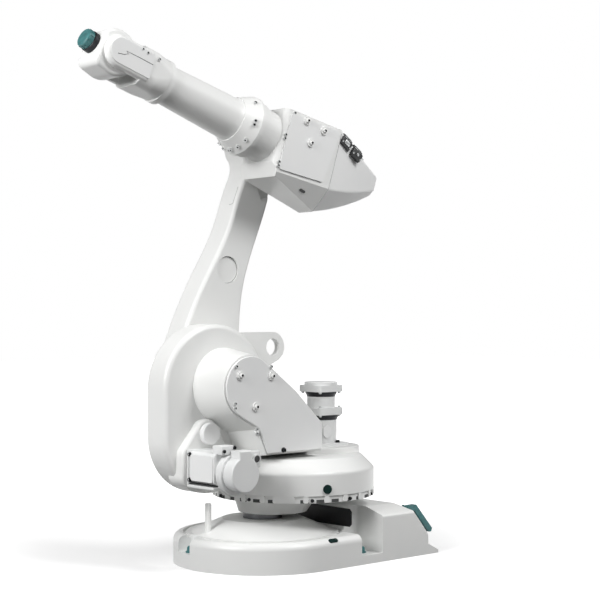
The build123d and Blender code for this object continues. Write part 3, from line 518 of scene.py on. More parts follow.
# %% Screws on the far covers
ROUND_SCREWS, ROUND_INSET = 6, 9
FINE = {"head_mm": 3.6, "washer_mm": 5, "head": zinc_plate}
for node, first_turn in (("shoulder_end_cover", 30), ("elbow_end_cover", 0)):
    low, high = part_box(node)
    circle = (high.z - low.z) / 2 - ROUND_INSET * MM
    centre = Vector(((low.x + high.x) / 2, low.y, (low.z + high.z) / 2))
    turns = [radians(first_turn + 360 * k / ROUND_SCREWS) for k in range(ROUND_SCREWS)]
    screws(node + "_screws", "lower_arm",
           [(centre + (FRONT * cos(t) + UP * sin(t)) * circle, -LEFT) for t in turns], **FINE)

# %% [markdown]
# ## Screws on the wrist
# The cheek of the wrist fork is held by small screws along its upper edge. The far cheek is the
# mirror image of the near one, so each place is used on both sides.

# %% Screws on the wrist cheeks
CHEEK_SCREWS = ((544, 31), (527, 28), (489, 28))
cheek_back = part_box("near_cheek_cover")[0].y / MM
screws("cheek_screws", "forearm",
       [(on_forearm(s, t, side * cheek_back), LEFT * side)
        for s, t in CHEEK_SCREWS for side in (1, -1)], **FINE)

# %% [markdown]
# ## Seams
# Covers sit on a thin bead of sealant, and castings show a line where two parts of a mould met.
# Both are paths with a round section. A node tree turns any chain of edges into such a bead: the
# edges become a curve, and a small circle is swept along it. For a cover, the chain is found on
# the cover itself: the sharp border of its back face.

# %% Bead tree
BEAD_SIDES = 8
bead_tree, given = start_tree("bead_along_edges", {"Bead Radius": 1.0}, ("Sealant",))
chain = add(bead_tree, "GeometryNodeMeshToCurve", None, {"Mesh": given["Geometry"]})
round_section = add(bead_tree, "GeometryNodeCurvePrimitiveCircle", None,
                    {"Resolution": BEAD_SIDES, "Radius": given["Bead Radius"]})
swept = add(bead_tree, "GeometryNodeCurveToMesh", None,
            {"Curve": chain.outputs[0], "Profile Curve": round_section.outputs[0], "Fill Caps": True})
end_tree(bead_tree, swept.outputs[0], ((given["Sealant"], True),))

# %% [markdown]
# The chain of edges is either drawn through places or found on a cover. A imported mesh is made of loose
# triangles, so its copy is merged first; an edge belongs to the border when it is sharp and both of
# its ends lie on the back face.

# %% Edges for a bead
MERGE_MM, BORDER_ANGLE, BORDER_DEPTH_MM = 0.01, 30, 0.05


def bead(name, body, mesh, radius_mm, finish):
    """A bead of one thickness along the edges of a mesh."""
    return grow(name, body, mesh, bead_tree, {"Bead Radius": radius_mm * MM, "Sealant": finish})


def path(name, places):
    """A chain of edges through places."""
    mesh = bpy.data.meshes.new(name + "_path")
    mesh.from_pydata(places, [(k, k + 1) for k in range(len(places) - 1)], [])
    return mesh


def back_border(node, inward):
    """The sharp border of a cover's back face, as a chain of edges."""
    copy = bmesh.new()
    copy.from_mesh(nodes[node].data)
    bmesh.ops.remove_doubles(copy, verts=copy.verts, dist=MERGE_MM * MM)
    depth = max(v.co.dot(inward) for v in copy.verts)
    border = [e for e in copy.edges
              if len(e.link_faces) == 2 and e.calc_face_angle() > radians(BORDER_ANGLE)
              and all(depth - v.co.dot(inward) < BORDER_DEPTH_MM * MM for v in e.verts)]
    corners = list(dict.fromkeys(v for e in border for v in e.verts))
    mesh = bpy.data.meshes.new(node + "_border")
    mesh.from_pydata([v.co.copy() for v in corners],
                     [[corners.index(v) for v in e.verts] for e in border], [])
    copy.free()
    return mesh


print("borders are sharper than", BORDER_ANGLE, "degrees")

# %% [markdown]
# The two flat covers and the elbow's rear cover get a grey bead. On the wrist a mould line runs along the near
# cheek and ends in a small hook. On the lower arm a dark ring of painted shade, the shadow in the pad's recess,
# frames the round pad, and a short mould line follows the front edge.

# %% Beads and mould lines
COVER_BEADS = (("shoulder_cover_bead", "turntable", "shoulder_cover", -LEFT, 1.0),
               ("elbow_cover_bead", "elbow", "elbow_side_cover", -LEFT, 1.0),
               ("rear_cover_bead", "elbow", "elbow_rear_cover", forearm_out, 1.2))
for name, body, node, inward, radius_mm in COVER_BEADS:
    bead(name, body, back_border(node, inward), radius_mm, seam_filler)
CHEEK_BEAD, PAD_SHADE_BEAD, ARM_BEAD = 0.9, 1.1, 1.4
cheek_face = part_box("near_cheek_cover")[1].y / MM
CHEEK_LINE = ((503, 6), (546, 6), (588, 5), (582, 0), (592, -6), (611, -11))
bead("cheek_mould_line", "forearm",
     path("cheek_line", [on_forearm(s, t, cheek_face) for s, t in CHEEK_LINE]), CHEEK_BEAD, shadow_gap)
# The dark ring is painted shade: the shadow in the recess round the pad.
PAD_RING_SIDES, PAD_RING_RADIUS = 48, 37.2
pad_low, pad_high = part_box("arm_pad")
pad_middle = (pad_low + pad_high) / 2
pad_turns = [2 * pi * k / PAD_RING_SIDES for k in range(PAD_RING_SIDES + 1)]
pad_ring = [pad_middle + Vector((PAD_RING_RADIUS * cos(t), 0, PAD_RING_RADIUS * sin(t))) * MM
            for t in pad_turns]
bead("arm_pad_painted_shade_ring", "lower_arm", path("pad_ring", pad_ring), PAD_SHADE_BEAD, shadow_gap)
ARM_LINE = ((11, -93, 1039), (20, -93, 1016), (29, -94, 992), (30, -101, 989), (30, -109, 989))
bead("arm_mould_line", "lower_arm", path("arm_line", [on_floor(*p) for p in ARM_LINE]),
     ARM_BEAD, seam_filler)

# %% [markdown]
# ## Plates with round corners
# Tabs, motor plates and grip ribs are all the same form: a rectangle with round corners, cut from
# sheet. Bevelled boxes would do for one of them, but the sizes differ, so a tree draws the rectangle
# as a curve, rounds its corners, fills it and thickens it.

# %% Form of one plate
plate_tree, given = start_tree(
    "round_cornered_plates", {"Width": 40.0, "Height": 20.0, "Thickness": 2.0, "Corner": 3.0},
    ("Finish",))
outline = add(plate_tree, "GeometryNodeCurvePrimitiveQuadrilateral", None,
              {"Width": given["Width"], "Height": given["Height"]})
rounded = add(plate_tree, "GeometryNodeFilletCurve", None,
              {"Curve": outline.outputs[0], "Radius": given["Corner"]})
sheet = add(plate_tree, "GeometryNodeFillCurve", None, {"Curve": rounded.outputs[0]})
thick = add(plate_tree, "GeometryNodeExtrudeMesh", None,
            {"Mesh": sheet.outputs[0], "Offset Scale": given["Thickness"], "Individual": False})
back = add(plate_tree, "GeometryNodeFlipFaces", None, {"Mesh": sheet.outputs[0]})
plate = add(plate_tree, "GeometryNodeJoinGeometry")
plate_tree.links.new(thick.outputs["Mesh"], plate.inputs[0])
plate_tree.links.new(back.outputs[0], plate.inputs[0])
closed = add(plate_tree, "GeometryNodeMergeByDistance", None,
             {"Geometry": plate.outputs[0], "Distance": MERGE_MM * MM})
print("one plate takes", len(plate_tree.nodes), "nodes")

# %% [markdown]
# Each point carries two directions: the way its plate faces, and the way the plate's height points.
# A copy is turned to the first one, and then spun about it until it meets the second.

# %% Plates on points
outward, upward = [add(plate_tree, "GeometryNodeInputNamedAttribute", {"data_type": "FLOAT_VECTOR"},
                       {"Name": label}).outputs[0] for label in ("facing", "upward")]
faced = add(plate_tree, "FunctionNodeAlignRotationToVector", {"axis": "Z"}, {"Vector": outward})
raised = add(plate_tree, "FunctionNodeAlignRotationToVector", {"axis": "Y", "pivot_axis": "Z"},
             {"Rotation": faced.outputs[0], "Vector": upward})
copies = add(plate_tree, "GeometryNodeInstanceOnPoints", None,
             {"Points": given["Geometry"], "Instance": closed.outputs[0], "Rotation": raised.outputs[0]})
end_tree(plate_tree, copies.outputs[0], ((given["Finish"], True),))


def plates(name, body, places, size, corner_mm, finish):
    """Plates of one size; each place has a point, a facing and an upward direction."""
    mesh = spots(name, [(point, facing) for point, facing, _ in places])
    raised = mesh.attributes.new("upward", "FLOAT_VECTOR", "POINT")
    raised.data.foreach_set("vector", [c for _, _, direction in places for c in direction])
    width, height, thickness = size
    return grow(name, body, mesh, plate_tree,
                {"Width": width * MM, "Height": height * MM, "Thickness": thickness * MM,
                 "Corner": corner_mm * MM, "Finish": finish})


# %% [markdown]
# ## Tabs on the turntable's rim
# Under the gearbox pot the rim is clamped by wide and narrow tabs, with black screws beside them; below them a
# dark band of painted shade stands for the shadowed groove. Tabs and screws repeat by angle, so the places come
# from loops over the angle.

# %% Rim tabs and screws
RIM_CENTRE_X, RIM_RADIUS, RIM_MIDDLE = -114, 224, 184
TAB_FIRST, TAB_STEP, TAB_SINK = 42, 30, 1
WIDE_EVERY, TAB_STEPS = 3, 12
WIDE_TAB, NARROW_TAB, TAB_CORNER = (60, 18, 4.5), (15, 18, 4.5), 3
RIM_SCREW_TURN, RIM_SCREW_DROP, RIM_HEAD, RIM_WASHER = 4.5, 3, 4.2, 5.0


def on_rim(turn, out_mm=0.0, height=RIM_MIDDLE):
    """A place on the rim at an angle from straight ahead, with the way it faces."""
    outward = FRONT * cos(radians(turn)) + LEFT * sin(radians(turn))
    return on_floor(RIM_CENTRE_X, 0, height) + outward * (RIM_RADIUS + out_mm) * MM, outward


wide_turns = [TAB_FIRST + TAB_STEP * k for k in range(0, TAB_STEPS, WIDE_EVERY)]
narrow_turns = [TAB_FIRST + TAB_STEP * k + half for k in range(TAB_STEPS) for half in (0, TAB_STEP / 2)]
narrow_turns = [t for t in narrow_turns if t not in wide_turns]
plates("rim_wide_tabs", "turntable", [(*on_rim(t, -TAB_SINK), UP) for t in wide_turns],
       WIDE_TAB, TAB_CORNER, white_enamel)
plates("rim_narrow_tabs", "turntable",
       [(*on_rim(t, -TAB_SINK), UP) for t in narrow_turns], NARROW_TAB, TAB_CORNER, white_enamel)
screws("rim_screws", "turntable",
       [on_rim(t + RIM_SCREW_TURN, 0, RIM_MIDDLE - RIM_SCREW_DROP) for t in narrow_turns[::2]],
       RIM_HEAD, RIM_WASHER, **ALL_BLACK)

# %% [markdown]
# ## Turned fittings
# Plugs, spacers and collars are turned: a profile spun about an axis. The Screw modifier could spin
# it, but a short function that writes the rings itself puts several forms in one mesh, and several
# forms make one fitting.

# %% Turned forms
TURN_SIDES = 32
# A form takes the first or the second finish of its fitting.
FIRST, SECOND = 0, 1


def stand(place, out, along=None):
    """A frame at a place: Z points out of the surface and X points along it."""
    z = Vector(out).normalized()
    y = z.cross(along if along else z.orthogonal()).normalized()
    return Matrix.Translation(place) @ Matrix((y.cross(z), y, z)).transposed().to_4x4()


def turned(solid, at, profile, paint=FIRST):
    """Spin a profile of (radius, height) in millimetres that starts and ends on the axis."""
    rings = []
    for radius, height in profile:
        turns = [2 * pi * k / TURN_SIDES for k in range(TURN_SIDES if radius else 1)]
        ring = [Vector((radius * cos(t), radius * sin(t), height)) * MM for t in turns]
        rings.append([solid.verts.new(at @ point) for point in ring])
    for low, high in zip(rings, rings[1:]):
        for k in range(TURN_SIDES):
            corners = (low[k % len(low)], low[(k + 1) % len(low)],
                       high[(k + 1) % len(high)], high[k % len(high)])
            solid.faces.new(list(dict.fromkeys(corners))).material_index = paint


print("a turned form has", TURN_SIDES, "sides")

# %% [markdown]
# ## Milled fittings
# Blocks, trays and levers are milled or cast with broken edges. Each is a cube that is scaled, set on
# its place and bevelled. When a fitting has all its forms, it becomes one mesh with its finishes.

# %% Milled forms
EDGE_STEPS, ROUND_PROFILE = 2, 0.5


def milled(solid, at, size, edge, paint=FIRST):
    """A block of three sizes in millimetres that stands on its place, with rounded edges."""
    before = set(solid.faces)
    corners = bmesh.ops.create_cube(solid, size=MM)["verts"]
    lift = Matrix.Translation((0, 0, size[2] * MM / 2))
    bmesh.ops.transform(solid, matrix=at @ lift @ Matrix.Diagonal((*size, 1)), verts=corners)
    edges = list(dict.fromkeys(e for v in corners for e in v.link_edges))
    bmesh.ops.bevel(solid, geom=edges, offset=edge * MM, segments=EDGE_STEPS,
                    profile=ROUND_PROFILE, affect="EDGES")
    for face in solid.faces:
        if face not in before:
            face.material_index = paint


def fit(name, body, slot, solid, *finishes):
    """Make one mesh of the forms, with its finishes, and settle it on a body."""
    bmesh.ops.recalc_face_normals(solid, faces=solid.faces)
    mesh = bpy.data.meshes.new(name)
    solid.to_mesh(mesh)
    solid.free()
    for finish in finishes:
        mesh.materials.append(finish)
    shade(mesh)
    return settle(name, body, mesh)


print("a milled edge is rounded in", EDGE_STEPS, "steps")

# %% [markdown]
# ## Sockets at the back of the elbow
# Two plug sockets stand on the plate at the back. Each is a metal frame with a black housing, a lid
# and two side levers that lock it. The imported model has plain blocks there, which give the places;
# the finer sockets built from milled and turned forms take over from them.

# %% Elbow sockets
SOCKET_SLOPE, SOCKET_HALF_HEIGHT = radians(18.3), 11
# Each milled form is given by its size and the rounding of its edges.
SOCKET_FRAME, SOCKET_HOUSING = ((46, 42, 5), 1.5), ((42, 36, 22), 3)
SOCKET_LID, LID_UP = ((34, 28, 5), 2), 21
SOCKET_LEVER, LEVER_SIDE = ((30, 10, 3), 1), 18
LEVER_PIVOT = ((0, 0), (4, 0), (4, 4), (3, 5), (0, 5))
socket_up = forearm_up * cos(SOCKET_SLOPE) - forearm_out * sin(SOCKET_SLOPE)
socket_along = forearm_out * cos(SOCKET_SLOPE) + forearm_up * sin(SOCKET_SLOPE)
for node in ("front_connector", "rear_connector"):
    low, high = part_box(node)
    foot = (low + high) / 2 - socket_up * SOCKET_HALF_HEIGHT * MM
    socket = bmesh.new()
    milled(socket, stand(foot, socket_up, socket_along), *SOCKET_FRAME, SECOND)
    milled(socket, stand(foot, socket_up, socket_along), *SOCKET_HOUSING, FIRST)
    milled(socket, stand(foot + socket_up * LID_UP * MM, socket_up, socket_along), *SOCKET_LID, SECOND)
    for side in (1, -1):
        flank = foot + socket_up * SOCKET_HALF_HEIGHT * MM + LEFT * side * LEVER_SIDE * MM
        milled(socket, stand(flank, LEFT * side, socket_along), *SOCKET_LEVER, SECOND)
        turned(socket, stand(flank, LEFT * side), LEVER_PIVOT, FIRST)
    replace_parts(fit(node + "_socket", "elbow", "black_plastic", socket, black_nylon, zinc_plate), node)

# %% [markdown]
# On the near side, the hoods of the sockets reach down over the edge of the cover, each with a lever and two
# screws. Below them, the housing has a drain slot; a thin dark plate with round ends paints the shade of the
# opening at this size, and needs no cut.

# %% Socket hoods and drain slot
SOCKET_HOOD, SOCKET_HOOD_SIDE, LEVER_OUT, LEVER_EDGE = ((42, 27, 14), 4), 68, 13, 1.4
HOOD_LEVERS = ((-178, 70, (20, 13, 4)), (-226, 54, (9, 7, 4)))
LEVER_SCREW, LEVER_SCREW_ALONG, LEVER_SCREW_DOWN = ((0, 0), (3, 0), (3, 3), (2.2, 4), (0, 4)), 16, 6
hoods = bmesh.new()
for along, up, lever in HOOD_LEVERS:
    flank = on_forearm(along, up, SOCKET_HOOD_SIDE)
    front = flank + LEFT * LEVER_OUT * MM
    milled(hoods, stand(flank, LEFT, socket_along), *SOCKET_HOOD, FIRST)
    milled(hoods, stand(front, LEFT, socket_along), lever, LEVER_EDGE, SECOND)
    for end in (1, -1):
        shift = (socket_along * LEVER_SCREW_ALONG * end - socket_up * LEVER_SCREW_DOWN) * MM
        turned(hoods, stand(front + shift, LEFT), LEVER_SCREW, SECOND)
fit("socket_hoods", "elbow", "black_plastic", hoods, black_nylon, zinc_plate)
# The dark plate is painted shade: it stands for the shadow inside the drain slot.
SLOT_PLACE, SLOT_FACING = on_forearm(-77, -113, 58), Vector((0.11, 0.82, -0.57))
SLOT_SIZE, SLOT_CORNER = (24, 8, 1.2), 3.5
plates("elbow_drain_slot_painted_shade", "elbow", [(SLOT_PLACE, SLOT_FACING, forearm_up)],
       SLOT_SIZE, SLOT_CORNER, shadow_gap)

# %% [markdown]
# ## Dressing of the upright motor
# The motor for the first axis shows dark spacer rings under its two flanges, screws at the flange corners, black
# screws on its foot, and a plain plate set into its body. The black of the rings is partly their steel and partly
# painted shade under the flanges. The rings are turned, and the screws and the plate come from their trees, so
# only sizes and places are new here.

# %% First motor
MOTOR1_X = -221
MOTOR1_FLANGES = ((458, 40), (392, 45))
# The rings are black partly for their steel and partly as painted shade under the flanges.
SPACER_STEPS, SPACER_DEPTH = ((5, 0), (5, 5), (2, 9), (0.6, 14)), 14
spacers = bmesh.new()
for height, radius in MOTOR1_FLANGES:
    steps = [(radius + wider, down) for wider, down in SPACER_STEPS]
    turned(spacers, stand(on_floor(MOTOR1_X, 0, height), -UP), [(0, 0), *steps, (0, SPACER_DEPTH)])
fit("motor1_spacers_and_painted_shade", "turntable", "dark_steel", spacers, black_oxide)
FLANGE_FACES, FLANGE_CORNER = ((412, UP), (392, -UP), (458, -UP)), 37
FLANGE_HEAD, FLANGE_WASHER = 4.0, 5.5
flange_spots = [(on_floor(MOTOR1_X + a * FLANGE_CORNER, b * FLANGE_CORNER, height), facing)
                for height, facing in FLANGE_FACES for a in (1, -1) for b in (1, -1)]
screws("motor1_flange_screws", "turntable", flange_spots, FLANGE_HEAD, FLANGE_WASHER, zinc_plate,
       motor_enamel, "motor_paint")
FOOT_SCREW_CIRCLE, FOOT_SCREW_TURN, MOTOR1_FOOT_TOP = 52, 25, 313
FOOT_HEAD, FOOT_WASHER = 5.5, 6.5
foot_turns = [radians(FOOT_SCREW_TURN + 90 * k) for k in range(4)]
foot_spots = [(on_floor(MOTOR1_X + FOOT_SCREW_CIRCLE * cos(t), FOOT_SCREW_CIRCLE * sin(t),
                        MOTOR1_FOOT_TOP), UP) for t in foot_turns]
screws("motor1_foot_screws", "turntable", foot_spots, FOOT_HEAD, FOOT_WASHER, **ALL_BLACK)
BODY_PLATE_AT, BODY_PLATE_FACING = on_floor(-206, 41.5, 346), Vector((0.34, 0.94, 0))
BODY_PLATE, BODY_PLATE_CORNER = (24, 36, 3.2), 8
plates("motor1_body_plate", "turntable", [(BODY_PLATE_AT, BODY_PLATE_FACING, UP)],
       BODY_PLATE, BODY_PLATE_CORNER, cover_enamel)

# %% [markdown]
# ## Dressing of the lying motor
# The motor for the second axis has a plain plate on its front, a terminal block on top, a round socket beside its
# end cap, a small round fitting above it, and a drip tray underneath, over a black strip that paints the shade in
# the gap under the motor. Apart from the plate they are all milled or turned, so two short tables hold them:
# place, way out, form and finish.

# %% Second motor
box_low, box_high = (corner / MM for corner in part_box("motor2_box"))
box_middle = (box_low + box_high) / 2
FACE_PLATE, FACE_CORNER, FACE_SINK, FACE_SIDE = (92, 68, 2.0), 4, 0.4, 4
face_place = on_floor(box_high.x - FACE_SINK, box_middle.y + FACE_SIDE, box_middle.z)
plates("motor2_front_plate", "turntable", [(face_place, FRONT, UP)],
       FACE_PLATE, FACE_CORNER, cover_enamel)
# The black strip under the tray is painted shade: the dark gap under the motor.
STRIP, TRAY, TRAY_FOOT = ((116, 108, 4), 1), ((122, 112, 8), 2.5), ((60, 26, 5), 2)
BACK_FLANGE, BLOCK, SOCKET_BASE = ((128, 90, 7), 2.5), ((46, 40, 24), 3), ((40, 44, 14), 4)
SOCKET_COLLAR = ((0, 0), (13, 0), (13, 6), (10, 7), (9, 3), (0, 3))
SOCKET_FACE = ((0, 0), (8.8, 0), (8.8, 5), (0, 4))
ROUND_FITTING = ((0, 0), (9, 0), (9, 4), (5, 5), (5, 9), (0, 10))
TRAY_FORWARD, STRIP_HEIGHT, TRAY_FOOT_DOWN, TRAY_FOOT_SIDE, BLOCK_SINK = 2, 4, 11, 10, 4
BLOCK_X, BLOCK_Y = 254, 146
SOCKET_BASE_AT, SOCKET_AT, FITTING_AT = (186, 174, 304), (182, 187, 305), (121, 119, 367)
FITTING_OUT = Vector((0.9, 0.16, -0.41))
tray_top = on_floor(box_middle.x + TRAY_FORWARD, box_middle.y, box_low.z)
fittings = bmesh.new()
for place, out, form, finish in (
        (tray_top, -UP, STRIP, SECOND),
        (tray_top - UP * STRIP_HEIGHT * MM, -UP, TRAY, FIRST),
        (tray_top - UP * TRAY_FOOT_DOWN * MM + LEFT * TRAY_FOOT_SIDE * MM, -UP, TRAY_FOOT, SECOND),
        (on_floor(box_middle.x, box_low.y, box_middle.z), LEFT, BACK_FLANGE, FIRST),
        (on_floor(BLOCK_X, BLOCK_Y, box_high.z - BLOCK_SINK), UP, BLOCK, FIRST),
        (on_floor(*SOCKET_BASE_AT), LEFT, SOCKET_BASE, FIRST)):
    milled(fittings, stand(place, out, FRONT), *form, finish)
for place, out, profile, finish in (
        (SOCKET_AT, LEFT, SOCKET_COLLAR, FIRST),
        (SOCKET_AT, LEFT, SOCKET_FACE, SECOND),
        (FITTING_AT, FITTING_OUT, ROUND_FITTING, FIRST)):
    turned(fittings, stand(on_floor(*place), out), profile, finish)
fit("motor2_fittings", "turntable", "motor_paint", fittings, motor_enamel, black_nylon)
MOTOR2_HEAD, MOTOR2_WASHER, SCREW_SINK = 4.6, 6.0, 1
FACE_SCREWS, BLOCK_SCREWS = ((48, 314), (48, 248)), ((236, 164, 336), (270, 164, 328))
black_spots = [(on_floor(box_high.x - SCREW_SINK, y, z), FRONT) for y, z in FACE_SCREWS]
black_spots += [(on_floor(*place), LEFT) for place in BLOCK_SCREWS]
screws("motor2_black_screws", "turntable", black_spots, MOTOR2_HEAD, MOTOR2_WASHER, **ALL_BLACK)

# %% [markdown]
# ## Plugs in the bolt holes
# A new robot comes with teal plugs in the bolt holes of its foot. Each is one turned form: a shank in
# the hole, a brim on the foot, and a grip to pull it out by.

# %% Bolt hole plugs
FRONT_HOLE_RADIUS, FRONT_HOLE_TURN, FRONT_HOLE_TOP = 222, radians(-10), 40
REAR_HOLE_X, REAR_HOLE_Y, REAR_HOLE_TOP = -185, 200, 24
PLUG = ((0, -6), (8.6, -6), (8.6, 0), (15, 0), (15, 3), (12, 5), (11, 14), (8, 17), (0, 17))
hole_tops = [on_floor(FRONT_HOLE_RADIUS * cos(FRONT_HOLE_TURN),
                      FRONT_HOLE_RADIUS * sin(FRONT_HOLE_TURN), FRONT_HOLE_TOP)]
hole_tops += [on_floor(REAR_HOLE_X, side * REAR_HOLE_Y, REAR_HOLE_TOP) for side in (1, -1)]
plugs = bmesh.new()
for top in hole_tops:
    turned(plugs, stand(top, UP), PLUG)
fit("bolt_hole_plugs", "foot", "teal_plastic", plugs, teal_cap)

# %% [markdown]
# ## Shade band, grip ribs and collar
# Under the rim of the turntable lies a dark band of painted shade, the shadow in the groove below the tabs; the
# cap on the tool disc has ribs for the fingers, and the stop pin stands in a collar. Two are turned, and the ribs
# are small plates set by angle.

# %% Shade band, cap ribs and collar
# The dark band is painted shade: the shadow in the groove under the rim.
RIM_SHADE_FOOT, RIM_SHADE_HEIGHT, RIM_SHADE_RADIUS = 174.5, 9, RIM_RADIUS + 0.8
rim_shade_band = bmesh.new()
turned(rim_shade_band, stand(on_floor(RIM_CENTRE_X, 0, RIM_SHADE_FOOT), UP),
       ((0, 0), (RIM_SHADE_RADIUS, 0), (RIM_SHADE_RADIUS, RIM_SHADE_HEIGHT), (0, RIM_SHADE_HEIGHT)))
fit("rim_painted_shade_band", "turntable", "dark_steel", rim_shade_band, shadow_gap)
CAP_BACK, CAP_DEPTH, CAP_RADIUS, CAP_RIBS = 65, 18, 25, 14
CAP_RIB, CAP_RIB_CORNER, CAP_RIB_BACK, CAP_RIB_SINK = (4.5, 13, 2.6), 1.4, 2, 1
rib_centre = on_tool(CAP_BACK + CAP_DEPTH / 2 - CAP_RIB_BACK, 0, 0)
ribs = []
for k in range(CAP_RIBS):
    turn = 2 * pi * k / CAP_RIBS
    outward = tool_up * cos(turn) + LEFT * sin(turn)
    ribs.append((rib_centre + outward * (CAP_RADIUS - CAP_RIB_SINK) * MM, outward, tool_out))
plates("tool_cap_ribs", "tool", ribs, CAP_RIB, CAP_RIB_CORNER, teal_cap)
COLLAR = ((0, 0), (17, 0), (17, 7), (14, 10), (9.3, 10), (0, 10))
pin_low, pin_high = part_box("stop_pin")
pin_foot = Vector(((pin_low.x + pin_high.x) / 2, (pin_low.y + pin_high.y) / 2, pin_low.z))
collar = bmesh.new()
turned(collar, stand(pin_foot, UP), COLLAR)
fit("stop_pin_collar", "foot", "white_paint", collar, white_enamel)

# %% [markdown]
# ## Painted shade under the turntable
# In the shade under the turntable lies a black area that can't be made out. A black plate on the front of the rear
# box paints this deep shade. Only its area shows, so one plate from the plate tree is enough.

# %% Black plate of painted shade on the front of the box
# Painted shade: the black plate stands for the deep shadow under the turntable.
SHADE_PLATE_X, SHADE_PLATE_MIDDLE = -177.5, 116
SHADE_PLATE, SHADE_PLATE_CORNER = (346, 50, 2), 8
plates("box_front_painted_shade", "foot",
       [(on_floor(SHADE_PLATE_X, 0, SHADE_PLATE_MIDDLE), FRONT, UP)],
       SHADE_PLATE, SHADE_PLATE_CORNER, black_nylon)

# %% [markdown]
# ## Hood over the rear sockets
# The teal hood is a bent strip that hugs the slope of the foot. Its section is drawn once and
# carried across the foot: a raised cap closes the near end, and the far end sinks a little, as the
# crowned top of the foot does there.

# %% Teal hood
HOOD_SECTION = ((-350, 139), (-384, 140), (-449, 68), (-446, 58), (-436, 58), (-376, 124), (-350, 124))
# Each station is a side and how far the upper part of the section sinks there.
HOOD_STATIONS = ((222, 0), (204, 0), (200, 9), (-165, 9), (-222, 20))
HOOD_UPPER, HOOD_BEND, HOOD_ROUNDING, HOOD_STEPS = 100, 20, 3, 3
hood = bmesh.new()
rings = [[hood.verts.new(on_floor(x, side, z - (sink if z > HOOD_UPPER else 0)))
          for x, z in HOOD_SECTION] for side, sink in HOOD_STATIONS]
count = len(HOOD_SECTION)
for near, far in zip(rings, rings[1:]):
    for k in range(count):
        hood.faces.new((near[k], near[(k + 1) % count], far[(k + 1) % count], far[k]))
hood.faces.new(rings[0])
hood.faces.new(list(reversed(rings[-1])))
bends = [e for e in hood.edges if e.calc_face_angle() > radians(HOOD_BEND)]
bmesh.ops.bevel(hood, geom=bends, offset=HOOD_ROUNDING * MM, segments=HOOD_STEPS,
                profile=ROUND_PROFILE, affect="EDGES")
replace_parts(fit("rear_hood", "foot", "teal_plastic", hood, teal_cap), "connector_cover")

# %% [markdown]
# Ribs run down the slope of the hood and stiffen it. They are narrow plates at even steps, with one
# more on the raised cap at the near end.

# %% Hood ribs
HOOD_RIB_SIDES = (-150, -88, -26, 36, 98, 160, 212)
HOOD_RIB_X, HOOD_RIB_Z, HOOD_RIB, HOOD_RIB_CORNER = -416.5, 103.5, (10, 74, 3), 3
HOOD_FACING, HOOD_RISE = Vector((-0.742, 0, 0.67)), Vector((0.67, 0, 0.742))
hood_ribs = [(on_floor(HOOD_RIB_X, side, HOOD_RIB_Z), HOOD_FACING, HOOD_RISE) for side in HOOD_RIB_SIDES]
plates("hood_ribs", "foot", hood_ribs, HOOD_RIB, HOOD_RIB_CORNER, teal_cap)

# %% [markdown]
# ## Studio floor
# The robot stands on the pale floor of a white studio. The floor takes the soft shadow, and seen by
# the camera it fades to white with distance. Light that bounces off it meets a darker tone, so that
# the under sides of the arm keep their shade; Light Path tells the two kinds of ray apart.

# %% Floor
FLOOR_WHITE, FLOOR_BOUNCE, FLOOR_ROUGHNESS, FLOOR_HALF = "#F4F4F4", "#484848", 0.8, 15
FADE_NEAR, FADE_FAR = 0.5, 1.9
GLOW_NEAR, GLOW_FAR = 0.22, 1.0
# A pale, matt floor that holds a soft shadow and melts into the white behind it.
floor_finish, tree, shader, place = new_finish(
    "pale_studio_floor",
    {"Roughness": FLOOR_ROUGHNESS, "Specular IOR Level": 0.0, "Emission Color": (1, 1, 1, 1)})
rays = add(tree, "ShaderNodeLightPath").outputs
seen = add(tree, "ShaderNodeMath", {"operation": "MAXIMUM"},
           {0: rays["Is Camera Ray"], 1: rays["Is Glossy Ray"]})
floor_tone = add(tree, "ShaderNodeMix", {"data_type": "RGBA"},
                 {0: seen.outputs[0], 6: linear(FLOOR_BOUNCE), 7: linear(FLOOR_WHITE)})
distance = add(tree, "ShaderNodeVectorMath", {"operation": "LENGTH"}, {0: place})
fade = add(tree, "ShaderNodeMapRange", {"interpolation_type": "SMOOTHSTEP"},
           {"Value": distance.outputs["Value"], "From Min": FADE_NEAR, "From Max": FADE_FAR,
            "To Min": GLOW_NEAR, "To Max": GLOW_FAR})
glow = add(tree, "ShaderNodeMath", {"operation": "MULTIPLY"}, {0: fade.outputs[0], 1: seen.outputs[0]})
feed(tree, shader, {"Base Color": floor_tone.outputs[2], "Emission Strength": glow.outputs[0]})
floor_mesh = bpy.data.meshes.new("studio_floor")
floor_corners = ((-1, -1), (1, -1), (1, 1), (-1, 1))
floor_mesh.from_pydata([(a * FLOOR_HALF, b * FLOOR_HALF, 0) for a, b in floor_corners], [], [(0, 1, 2, 3)])
floor_mesh.materials.append(floor_finish)
floor = bpy.data.objects.new("studio_floor", floor_mesh)
scene.collection.objects.link(floor)
print("floor of", 2 * FLOOR_HALF, "m")

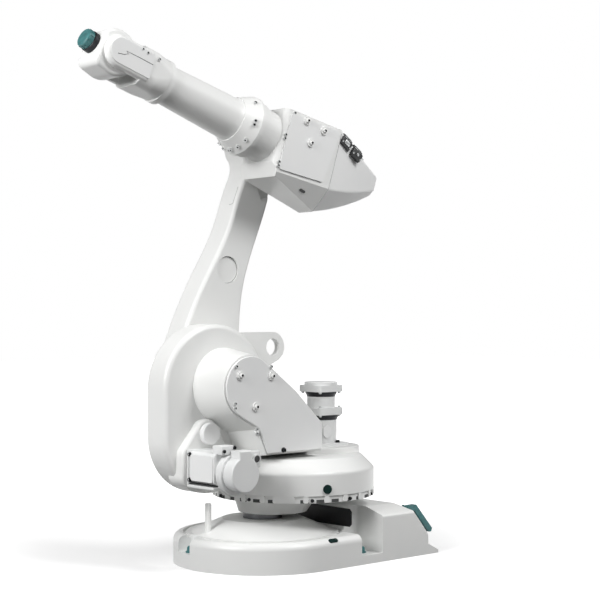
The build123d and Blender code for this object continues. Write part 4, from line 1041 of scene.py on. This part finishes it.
# %% [markdown]
# ## Backdrop
# The camera sees pure white behind the arm. The light that the white walls throw on the arm is much
# weaker, and comes a little more from above than from below.

# %% Backdrop
AMBIENT_LOW, AMBIENT_HIGH = 0.3, 0.33
RAY_LOW, RAY_HIGH = -0.2, 0.9
world = bpy.data.worlds.new("white_studio")
scene.world = world
world.use_nodes = True
tree = world.node_tree
rays = add(tree, "ShaderNodeLightPath").outputs
seen = add(tree, "ShaderNodeMath", {"operation": "MAXIMUM"},
           {0: rays["Is Camera Ray"], 1: rays["Is Transmission Ray"]})
ray = add(tree, "ShaderNodeSeparateXYZ", None, {0: add(tree, "ShaderNodeTexCoord").outputs["Generated"]})
ambient = add(tree, "ShaderNodeMapRange", None,
              {"Value": ray.outputs["Z"], "From Min": RAY_LOW, "From Max": RAY_HIGH,
               "To Min": AMBIENT_LOW, "To Max": AMBIENT_HIGH})
level = add(tree, "ShaderNodeMix", {"data_type": "FLOAT"},
            {0: seen.outputs[0], 2: ambient.outputs[0], 3: 1.0})
feed(tree, tree.nodes["Background"], {"Color": (1, 1, 1, 1), "Strength": level.outputs[0]})
print("walls give", AMBIENT_LOW, "to", AMBIENT_HIGH)

# %% [markdown]
# ## Lamps
# A soft lamp in front gives the bright edges and tops, one at the side lights the faces that the
# camera sees, and a weak one behind opens the shadows. All are square softboxes aimed at the middle
# of the arm, so one loop makes them.

# %% Lamps
LAMP_AIM, LAMP_SIZE = Vector((0, 0, 0.6)), 1.5
LAMPS = (("front_softbox", Vector((3.2, 0.3, 2.0)), 98),
         ("side_softbox", Vector((-0.9, 2.8, 3.5)), 100),
         ("rear_fill", Vector((-2.6, 1.6, 2.4)), 12))
for name, place, watts in LAMPS:
    data = bpy.data.lights.new(name, "AREA")
    data.size = LAMP_SIZE
    data.energy = watts
    light = bpy.data.objects.new(name, data)
    scene.collection.objects.link(light)
    turn = (place - LAMP_AIM).to_track_quat("Z", "Y")
    light.matrix_world = Matrix.Translation(place) @ turn.to_matrix().to_4x4()
    print(name, watts, "W")
scene.view_settings.view_transform = "Standard"
